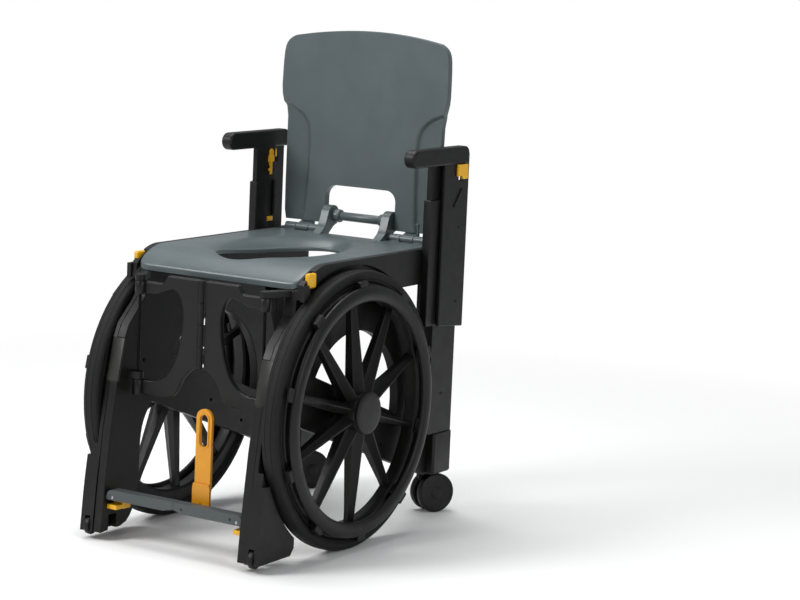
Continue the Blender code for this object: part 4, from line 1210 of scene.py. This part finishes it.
def wall_line():
    """Half of the front wall from its seam outward, with its curves drawn smooth."""
    low = 0.4697
    line = [(0.006, 0.485), (0.078, 0.485), (0.088, low), (hinge_x, low), (hinge_x, 0.446)]
    line += eased(
        [
            (0.100, 0.448), (0.078, 0.457), (0.064, 0.460), (0.053, 0.454), (0.046, 0.440), (0.042, 0.418),
            (0.044, 0.385),
        ],
        4,
    )
    line += eased([(0.051, 0.352), (0.063, 0.323), (0.079, 0.303), (0.099, 0.292), (0.120, 0.290)], 4)
    line += [(hinge_x, 0.290), (hinge_x, 0.262)]
    line += eased(
        [(0.115, 0.2615), (0.085, 0.2640), (0.064, 0.2665), (0.054, 0.274), (0.046, 0.289), (0.037, 0.305)],
        4,
    )
    line += eased([(0.024, 0.318), (0.016, 0.3235), (0.006, 0.3265)], 3)
    return line


def wall_leaf(side):
    """One leaf of the front wall with its barrels and seam knuckles."""
    word = "left" if side > 0 else "right"
    leaf = prism(word + "_wall_leaf", [(side * x, z) for x, z in wall_line()], "Y", (-0.188, -0.176))
    round_edges(leaf, 0.0034, 4, 50)
    parts = []
    for index, ends in enumerate(((0.446, 0.4697), (0.262, 0.290))):
        parts.append(rod(word + "_wall_barrel_%d" % index, "Z", (side * hinge_x, wall_y, 0), 0.010, ends, 40))
    pitch = (0.485 - 0.3265) / 4
    for index in range(4):
        if index % 2 != (side > 0):
            continue
        low = 0.3265 + pitch * index + tiny
        knuckle = arc((0, -0.189), 0.0052, 90, 360, 24) + [(0.009, -0.1875), (0.009, -0.1842)]
        knuckle = [(side * x, y) for x, y in knuckle]
        piece = prism(word + "_seam_knuckle_%d" % index, knuckle, "Z", (low, low + pitch - 2 * tiny))
        parts.append(round_edges(piece, 0.0005, 2))
    return leaf, parts


class CHAIR_OT_build_wall(bpy.types.Operator):
    """Folding front wall with its side barrels and centre seam"""

    bl_idname = "chair.build_wall"
    bl_label = "Front wall"

    def execute(self, context):
        for word, side in SIDES.items():
            body = word + "_front_wall"
            leaf, parts = wall_leaf(side)
            finished(leaf, body, "black_plastic", word + "_front_wall")
            for part in parts:
                finished(part, body, "black_plastic")
        copied("wall_seam_pin", 0.0004, 1)
        return {"FINISHED"}


def footrest_bar(side):
    """Half of the footrest bar with a rounded end at its pin, and its screw holes."""
    word = "left" if side > 0 else "right"
    above, below, middle = 0.0137, 0.005, 0.081
    line = [(tiny, middle + above)] + arc((hinge_x, middle), above, 90, -21.4, 20)
    line += [(0.023, middle - below), (tiny, middle)]
    bar = prism(word + "_footrest_bar", [(side * x, z) for x, z in line], "Y", (-0.255, -0.233))
    holes = [(side * hinge_x, middle)] + ([(0.018, 0.0845), (0.125, 0.0845)] if side > 0 else [])
    tools = []
    for index, (x, z) in enumerate(holes):
        radius = 0.0021 if index else 0.0033
        tools.append(rod("hole_%d" % index, "Y", (x, 0, z), radius, (-0.270, -0.2515), 20))
    cut(bar, *tools)
    round_edges(bar, 0.0013, 3)
    return bar


def footrest_joint(side):
    rear, first, second = -0.233, (-0.2327, -0.2273), (-0.2270, -0.2205)
    if side < 0:
        lug = arc((0, 0.081), 0.0075, -90, 90, 24) + [(-0.040, 0.0878), (-0.040, 0.0772)]
        return [round_edges(prism("footrest_lug", lug, "Y", first), 0.0006, 2)]
    spacer = block("footrest_spacer", (0.026, 0.100), (rear - 0.001, second[1]), (0.0765, 0.0900))
    tongue = block("footrest_tongue", (-0.100, 0.050), second, (0.0767, 0.0893))
    stud = rod("handle_stud", "Y", (0.034, 0, 0.081), 0.003, (-0.2215, -0.2135), 24)
    return [round_edges(spacer, 0.0008, 2), round_edges(tongue, 0.0008, 2), stud]


def handle_shape():
    """Pull handle: strap with a bend over its foot, a long slot with a raised rim and a keyhole."""
    x0, front, thick, half = 0.034, -0.2202, 0.006, 0.019
    foot = [(-half, 0.083), (-0.008, 0.083), (-0.008, 0.070), (0.008, 0.070), (0.008, 0.083), (half, 0.083)]
    foot += [(half, 0.120), (half - 0.002, 0.128), (0.002 - half, 0.128), (-half, 0.120)]
    foot = prism("pull_strap", [(x0 + x, z) for x, z in foot], "Y", (front, front + thick))
    upper = [(x0 - half + 0.002, 0.116), (x0 + half - 0.002, 0.116)]
    upper += arc((x0, 0.262 - half + 0.002), half - 0.002, 0, 180, 36)
    join(foot, prism("strap_upper", upper, "Y", (front + 0.004, front + 0.004 + thick)))
    radius = 0.0085
    high, low = 0.262 - 0.010 - radius, 0.262 - 0.010 - 0.058 + radius
    slot = arc((x0, high), radius, 0, 180, 24) + arc((x0, low), radius, 180, 360, 24)
    bore = rod("handle_bore", "Y", (x0, 0, 0.081), 0.0033, (front - 0.01, front + 0.03), 24)
    key = block("keyhole", (x0 - 0.0016, x0 + 0.0016), (front - 0.01, front + 0.03), (0.084, 0.0935))
    cut(foot, prism("handle_slot", slot, "Y", (front - 0.01, front + 0.03)), bore, key)
    round_edges(foot, 0.0012, 3)
    rim = arc((x0, high), radius + 0.0034, 0, 180, 36) + arc((x0, low), radius + 0.0034, 180, 360, 36)
    ring = prism("strap_rim", rim, "Y", (front + 0.0026, front + 0.0046))
    inner = arc((x0, high), radius + 0.0002, 0, 180, 36) + arc((x0, low), radius + 0.0002, 180, 360, 36)
    cut(ring, prism("strap_rim_hole", inner, "Y", (front - 0.01, front + 0.03)))
    round_edges(ring, 0.0007, 2)
    return foot, ring


class CHAIR_OT_build_footrest(bpy.types.Operator):
    """Folding footrest with its centre joint, pins and pull handle"""

    bl_idname = "chair.build_footrest"
    bl_label = "Footrest and pull handle"

    def execute(self, context):
        for word, side in SIDES.items():
            body = word + "_footrest"
            finished(footrest_bar(side), body, "grey_footrest", word + "_footrest")
            for part in footrest_joint(side):
                finished(part, body, "grey_footrest")
        copied("footrest_centre_pin", 0.0004, 1)
        strap, rim = handle_shape()
        finished(strap, "pull_handle", "amber_plastic", "pull_handle")
        finished(rim, "pull_handle", "amber_plastic")
        return {"FINISHED"}


# Armrests and buttons


def arm_pad(side):
    """Armrest pad: soft-edged bar with a rounded nose and heel."""
    word = "left" if side > 0 else "right"
    nose = 0.0165
    outline = arc((0.149 + nose, 0.680 + nose), nose, 270, 90, 24)
    outline += arc((0.333, 0.701), 0.012, 90, 0, 12) + [(0.345, 0.680)]
    pad = prism(word + "_arm_pad", outline, "X", (side * 0.194, side * 0.218))
    return round_edges(pad, 0.0048, 5, 50)


def arm_blade(side):
    """Outer skirt under the pad, with its slot, slanted foot and diagonal rib."""
    word = "left" if side > 0 else "right"
    skirt = [(0.262, 0.379), (0.348, 0.371), (0.348, 0.700), (0.339, 0.7065), (0.262, 0.7065)]
    blade = prism(word + "_arm_blade", skirt, "X", (side * 0.2085, side * 0.216))
    slot = block("tab_slot", (side * 0.204, side * 0.230), (0.3122, 0.3258), (0.6497, 0.6743))
    cut(blade, slot)
    round_edges(blade, 0.0020, 3)
    start, end = Vector((0.3245, 0.633)), Vector((0.2985, 0.600))
    way = (end - start).normalized()
    across = Vector((-way.y, way.x)) * 0.0030
    rib = [tuple(start - across), tuple(start + across), tuple(end + across), tuple(end - across)]
    rib = prism(word + "_arm_rib", rib, "X", (side * 0.2150, side * 0.2182))
    return blade, round_edges(rib, 0.0011, 3)


class CHAIR_OT_build_armrests(bpy.types.Operator):
    """Armrests with sleeves, racks, latches and the seat's release buttons"""

    bl_idname = "chair.build_armrests"
    bl_label = "Armrests and latches"

    def execute(self, context):
        for word, side in SIDES.items():
            body = word + "_armrest"
            finished(arm_pad(side), body, "black_plastic", word + "_armrest")
            for part in arm_blade(side):
                finished(part, body, "black_plastic")
            tongue = block(
                word + "_arm_tongue", (side * 0.1935, side * 0.2035), (0.236, 0.296), (0.500, 0.684),
            )
            slot = block("slider_slot", (side * 0.185, side * 0.1995), (0.2757, 0.2843), (0.6367, 0.6603))
            cut(tongue, slot)
            finished(round_edges(tongue, 0.0008, 2), body, "black_plastic")
            copied(word + "_armrest_sleeve", 0.0009, 2)
            # The teeth stand beside the channel, clear of the slider that runs down it
            tooth = block(
                word + "_arm_rack", (side * 0.1894, side * 0.1910), (0.2908, 0.2975), (-0.0020, 0.0020),
            )
            round_edges(tooth, 0.0005, 2)
            move(tooth, (0, axle_y, 0.5520))
            rack = grow(
                tooth, "row", {
                    "Count": 10, "Pitch": (0.0, 0.0, 0.0066), "Material": FINISHES["black_plastic"],
                }
            )
            finished(rack, word + "_frame", "black_plastic", placed=True)
            tab = block(word + "_tab", (side * 0.2163, side * 0.2213), (0.301, 0.336), (0.658, 0.680))
            join(tab, block("tab_foot", (side * 0.2163, side * 0.2213), (0.318, 0.336), (0.652, 0.660)))
            join(tab, block("tab_stem", (side * 0.2095, side * 0.2183), (0.3125, 0.3255), (0.658, 0.674)))
            finished(round_edges(tab, 0.0014, 3), word + "_latch_tab", "yellow_plastic", word + "_latch_tab")
            x_ends = (side * 0.190, side * 0.1932)
            slider = block(word + "_slider", x_ends, (0.277, 0.283), (0.627, 0.677))
            join(slider, block("slider_hook", x_ends, (0.271, 0.289), (0.652, 0.664)))
            join(slider, block("slider_head", x_ends, (0.274, 0.286), (0.662, 0.674)))
            join(slider, block("slider_pip", x_ends, (0.2725, 0.280), (0.634, 0.639)))
            join(slider, block("slider_stem", (side * 0.1922, side * 0.199), (0.276, 0.284), (0.645, 0.660)))
            finished(
                round_edges(slider, 0.0006, 2), word + "_latch_slider", "yellow_plastic",
                word + "_latch_slider",
            )
            copied(word + "_seat_button", 0.0016, 3)
        return {"FINISHED"}


# Screws


def screw_shape():
    """Button head with a round socket, its axis along +Z, 1 m in radius."""
    profile = [
        (0.0, -0.10), (0.34, -0.10), (0.36, 0.30), (0.62, 0.30), (0.86, 0.18), (1.0, 0.0), (1.0, -0.25),
        (0.0, -0.25),
    ]
    return lathe("screw_source", [(radius, along) for radius, along in profile], "Z", (0, 0, 0), 18, 40)


def screws_at(name, points, turn, radius, body, finish, source):
    """One plain mesh of screws at the points, turned to face out."""
    mesh = bpy.data.meshes.new(name)
    mesh.from_pydata([(x, y + axle_y, z) for x, y, z in points], [], [])
    piece = bpy.data.objects.new(name, mesh)
    bpy.context.scene.collection.objects.link(piece)
    settings = {"Source": source, "Turn": turn, "Size": radius, "Material": FINISHES[finish]}
    grow(piece, "points", settings)
    return finished(piece, body, finish, placed=True)


class CHAIR_OT_add_screws(bpy.types.Operator):
    """Screws and plugs on the frames' covers and inner plates and on the armrest skirts"""

    bl_idname = "chair.add_screws"
    bl_label = "Screws"

    def execute(self, context):
        radius = context.scene.chair_sizes.screw_radius
        source = screw_shape()
        for word, side in SIDES.items():
            out = (0.0, side * math.pi / 2, 0.0)
            face = side * 0.1905
            plugs = [(face, 0.270, 0.486), (face, 0.325, 0.400), (face, 0.325, 0.240), (face, -0.135, 0.452)]
            screws_at(word + "_cover_screws", plugs, out, radius, word + "_frame", "black_plastic", source)
            inner = (0.0, -side * math.pi / 2, 0.0)
            inside = [
                (side * 0.1516, 0.340, 0.480), (side * 0.1516, 0.340, 0.300), (side * 0.1516, 0.232, 0.490),
            ]
            screws_at(word + "_plate_screws", inside, inner, radius, word + "_frame", "steel", source)
            skirt = [(side * 0.2163, 0.320, 0.420), (side * 0.2163, 0.320, 0.560)]
            screws_at(
                word + "_skirt_screws", skirt, out, radius * 0.8, word + "_armrest", "black_plastic", source,
            )
        bpy.data.objects.remove(source, do_unlink=True)
        return {"FINISHED"}


# Stage


class CHAIR_OT_set_stage(bpy.types.Operator):
    """Pale floor, soft lamps and the camera"""

    bl_idname = "chair.set_stage"
    bl_label = "Stage"

    def execute(self, context):
        scene = context.scene
        scene.view_settings.view_transform = "Standard"
        floor = mesh_object(
            "studio_floor", [(-30, -30, 0), (30, -30, 0), (30, 60, 0), (-30, 60, 0)], [(0, 1, 2, 3)],
        )
        material, tree, place = start_material("pale_studio_floor")
        pale = scene.chair_colours.floor_pale
        matt = add_node(tree, "ShaderNodeBsdfDiffuse", {"Color": (*pale, 1)})
        white = add_node(tree, "ShaderNodeEmission", {"Color": (1, 1, 1, 1), "Strength": 1.0})
        reach = add_node(tree, "ShaderNodeVectorMath", {"operation": "LENGTH"}, {0: place})
        far = spread(tree, reach.outputs["Value"], 0.0, 1.0, 0.75, 2.2)
        path = add_node(tree, "ShaderNodeLightPath")
        share = add_node(
            tree, "ShaderNodeMath", {"operation": "MULTIPLY"}, {0: far, 1: path.outputs["Is Camera Ray"]},
        )
        both = add_node(
            tree, "ShaderNodeMixShader", links={0: share.outputs[0], 1: matt.outputs[0], 2: white.outputs[0]},
        )
        close_material(tree, both)
        floor.data.materials.append(material)

        world = bpy.data.worlds.new("soft_studio")
        world.use_nodes = True
        scene.world = world
        tree = world.node_tree
        tree.nodes.clear()
        path = add_node(tree, "ShaderNodeLightPath")
        seen = add_node(tree, "ShaderNodeBackground", {"Color": (1, 1, 1, 1), "Strength": 1.0})
        light = add_node(tree, "ShaderNodeBackground", {"Color": (0.95, 0.97, 1.0, 1), "Strength": 0.36})
        both = add_node(
            tree, "ShaderNodeMixShader", links={
                0: path.outputs["Is Camera Ray"], 1: light.outputs[0], 2: seen.outputs[0],
            }
        )
        add_node(tree, "ShaderNodeOutputWorld", links={"Surface": both.outputs[0]})

        aim = Vector((0, 0, 0.45))
        lamps = (
            ("key", (-1.7, -2.5, 2.6), 1.5, 80), ("side", (2.8, -0.9, 1.5), 1.6, 20),
            ("top", (-0.5, 0.3, 3.2), 2.2, 72),
        )
        for label, where, size, power in lamps:
            lamp = bpy.data.lights.new(label, "AREA")
            lamp.shape = "DISK"
            lamp.size = size
            lamp.energy = power
            holder = bpy.data.objects.new(label + "_lamp", lamp)
            holder.location = where
            holder.rotation_mode = "QUATERNION"
            holder.rotation_quaternion = (aim - Vector(where)).to_track_quat("-Z", "Y")
            scene.collection.objects.link(holder)

        view = scene.chair_view
        a, e, r = view.azimuth, view.elevation, view.roll
        forward = Vector((-math.sin(a) * math.cos(e), math.cos(a) * math.cos(e), -math.sin(e)))
        right = Vector((math.cos(a), math.sin(a), 0))
        up = right.cross(forward)
        right, up = math.cos(r) * right + math.sin(r) * up, -math.sin(r) * right + math.cos(r) * up
        turn = Matrix((right, up, -forward)).transposed()
        camera = bpy.data.cameras.new("photo_camera")
        camera.lens = view.lens
        camera.sensor_width = 36
        camera.shift_x = view.shift
        holder = bpy.data.objects.new("photo_camera", camera)
        holder.rotation_mode = "QUATERNION"
        holder.location = view.place
        holder.rotation_quaternion = turn.to_quaternion()
        scene.collection.objects.link(holder)
        scene.camera = holder
        return {"FINISHED"}


STEPS = (
    CHAIR_OT_build_frames,
    CHAIR_OT_build_wheels,
    CHAIR_OT_build_castors,
    CHAIR_OT_build_seat,
    CHAIR_OT_build_back,
    CHAIR_OT_build_wall,
    CHAIR_OT_build_footrest,
    CHAIR_OT_build_armrests,
    CHAIR_OT_add_screws,
    CHAIR_OT_set_stage,
)


class CHAIR_PT_panel(bpy.types.Panel):
    """Lists the chair's sizes, colours and building steps"""

    bl_idname = "CHAIR_PT_panel"
    bl_label = "Bath chair"
    bl_space_type = "VIEW_3D"
    bl_region_type = "UI"
    bl_category = "Bath chair"

    def draw(self, context):
        for group in (context.scene.chair_sizes, context.scene.chair_colours, context.scene.chair_view):
            box = self.layout.box()
            for label in group.__annotations__:
                box.prop(group, label)
        for step in STEPS:
            self.layout.operator(step.bl_idname)


CLASSES = (ChairColours, ChairSizes, ChairView, *STEPS, CHAIR_PT_panel)


def register():
    for item in CLASSES:
        bpy.utils.register_class(item)
    bpy.types.Scene.chair_colours = bpy.props.PointerProperty(type=ChairColours)
    bpy.types.Scene.chair_sizes = bpy.props.PointerProperty(type=ChairSizes)
    bpy.types.Scene.chair_view = bpy.props.PointerProperty(type=ChairView)


def unregister():
    del bpy.types.Scene.chair_colours
    del bpy.types.Scene.chair_sizes
    del bpy.types.Scene.chair_view
    for item in reversed(CLASSES):
        bpy.utils.unregister_class(item)


def main():
    register()
    make_finishes()
    for step in STEPS:
        group, name = step.bl_idname.split(".")
        getattr(getattr(bpy.ops, group), name)()


if __name__ == "__main__":
    main()
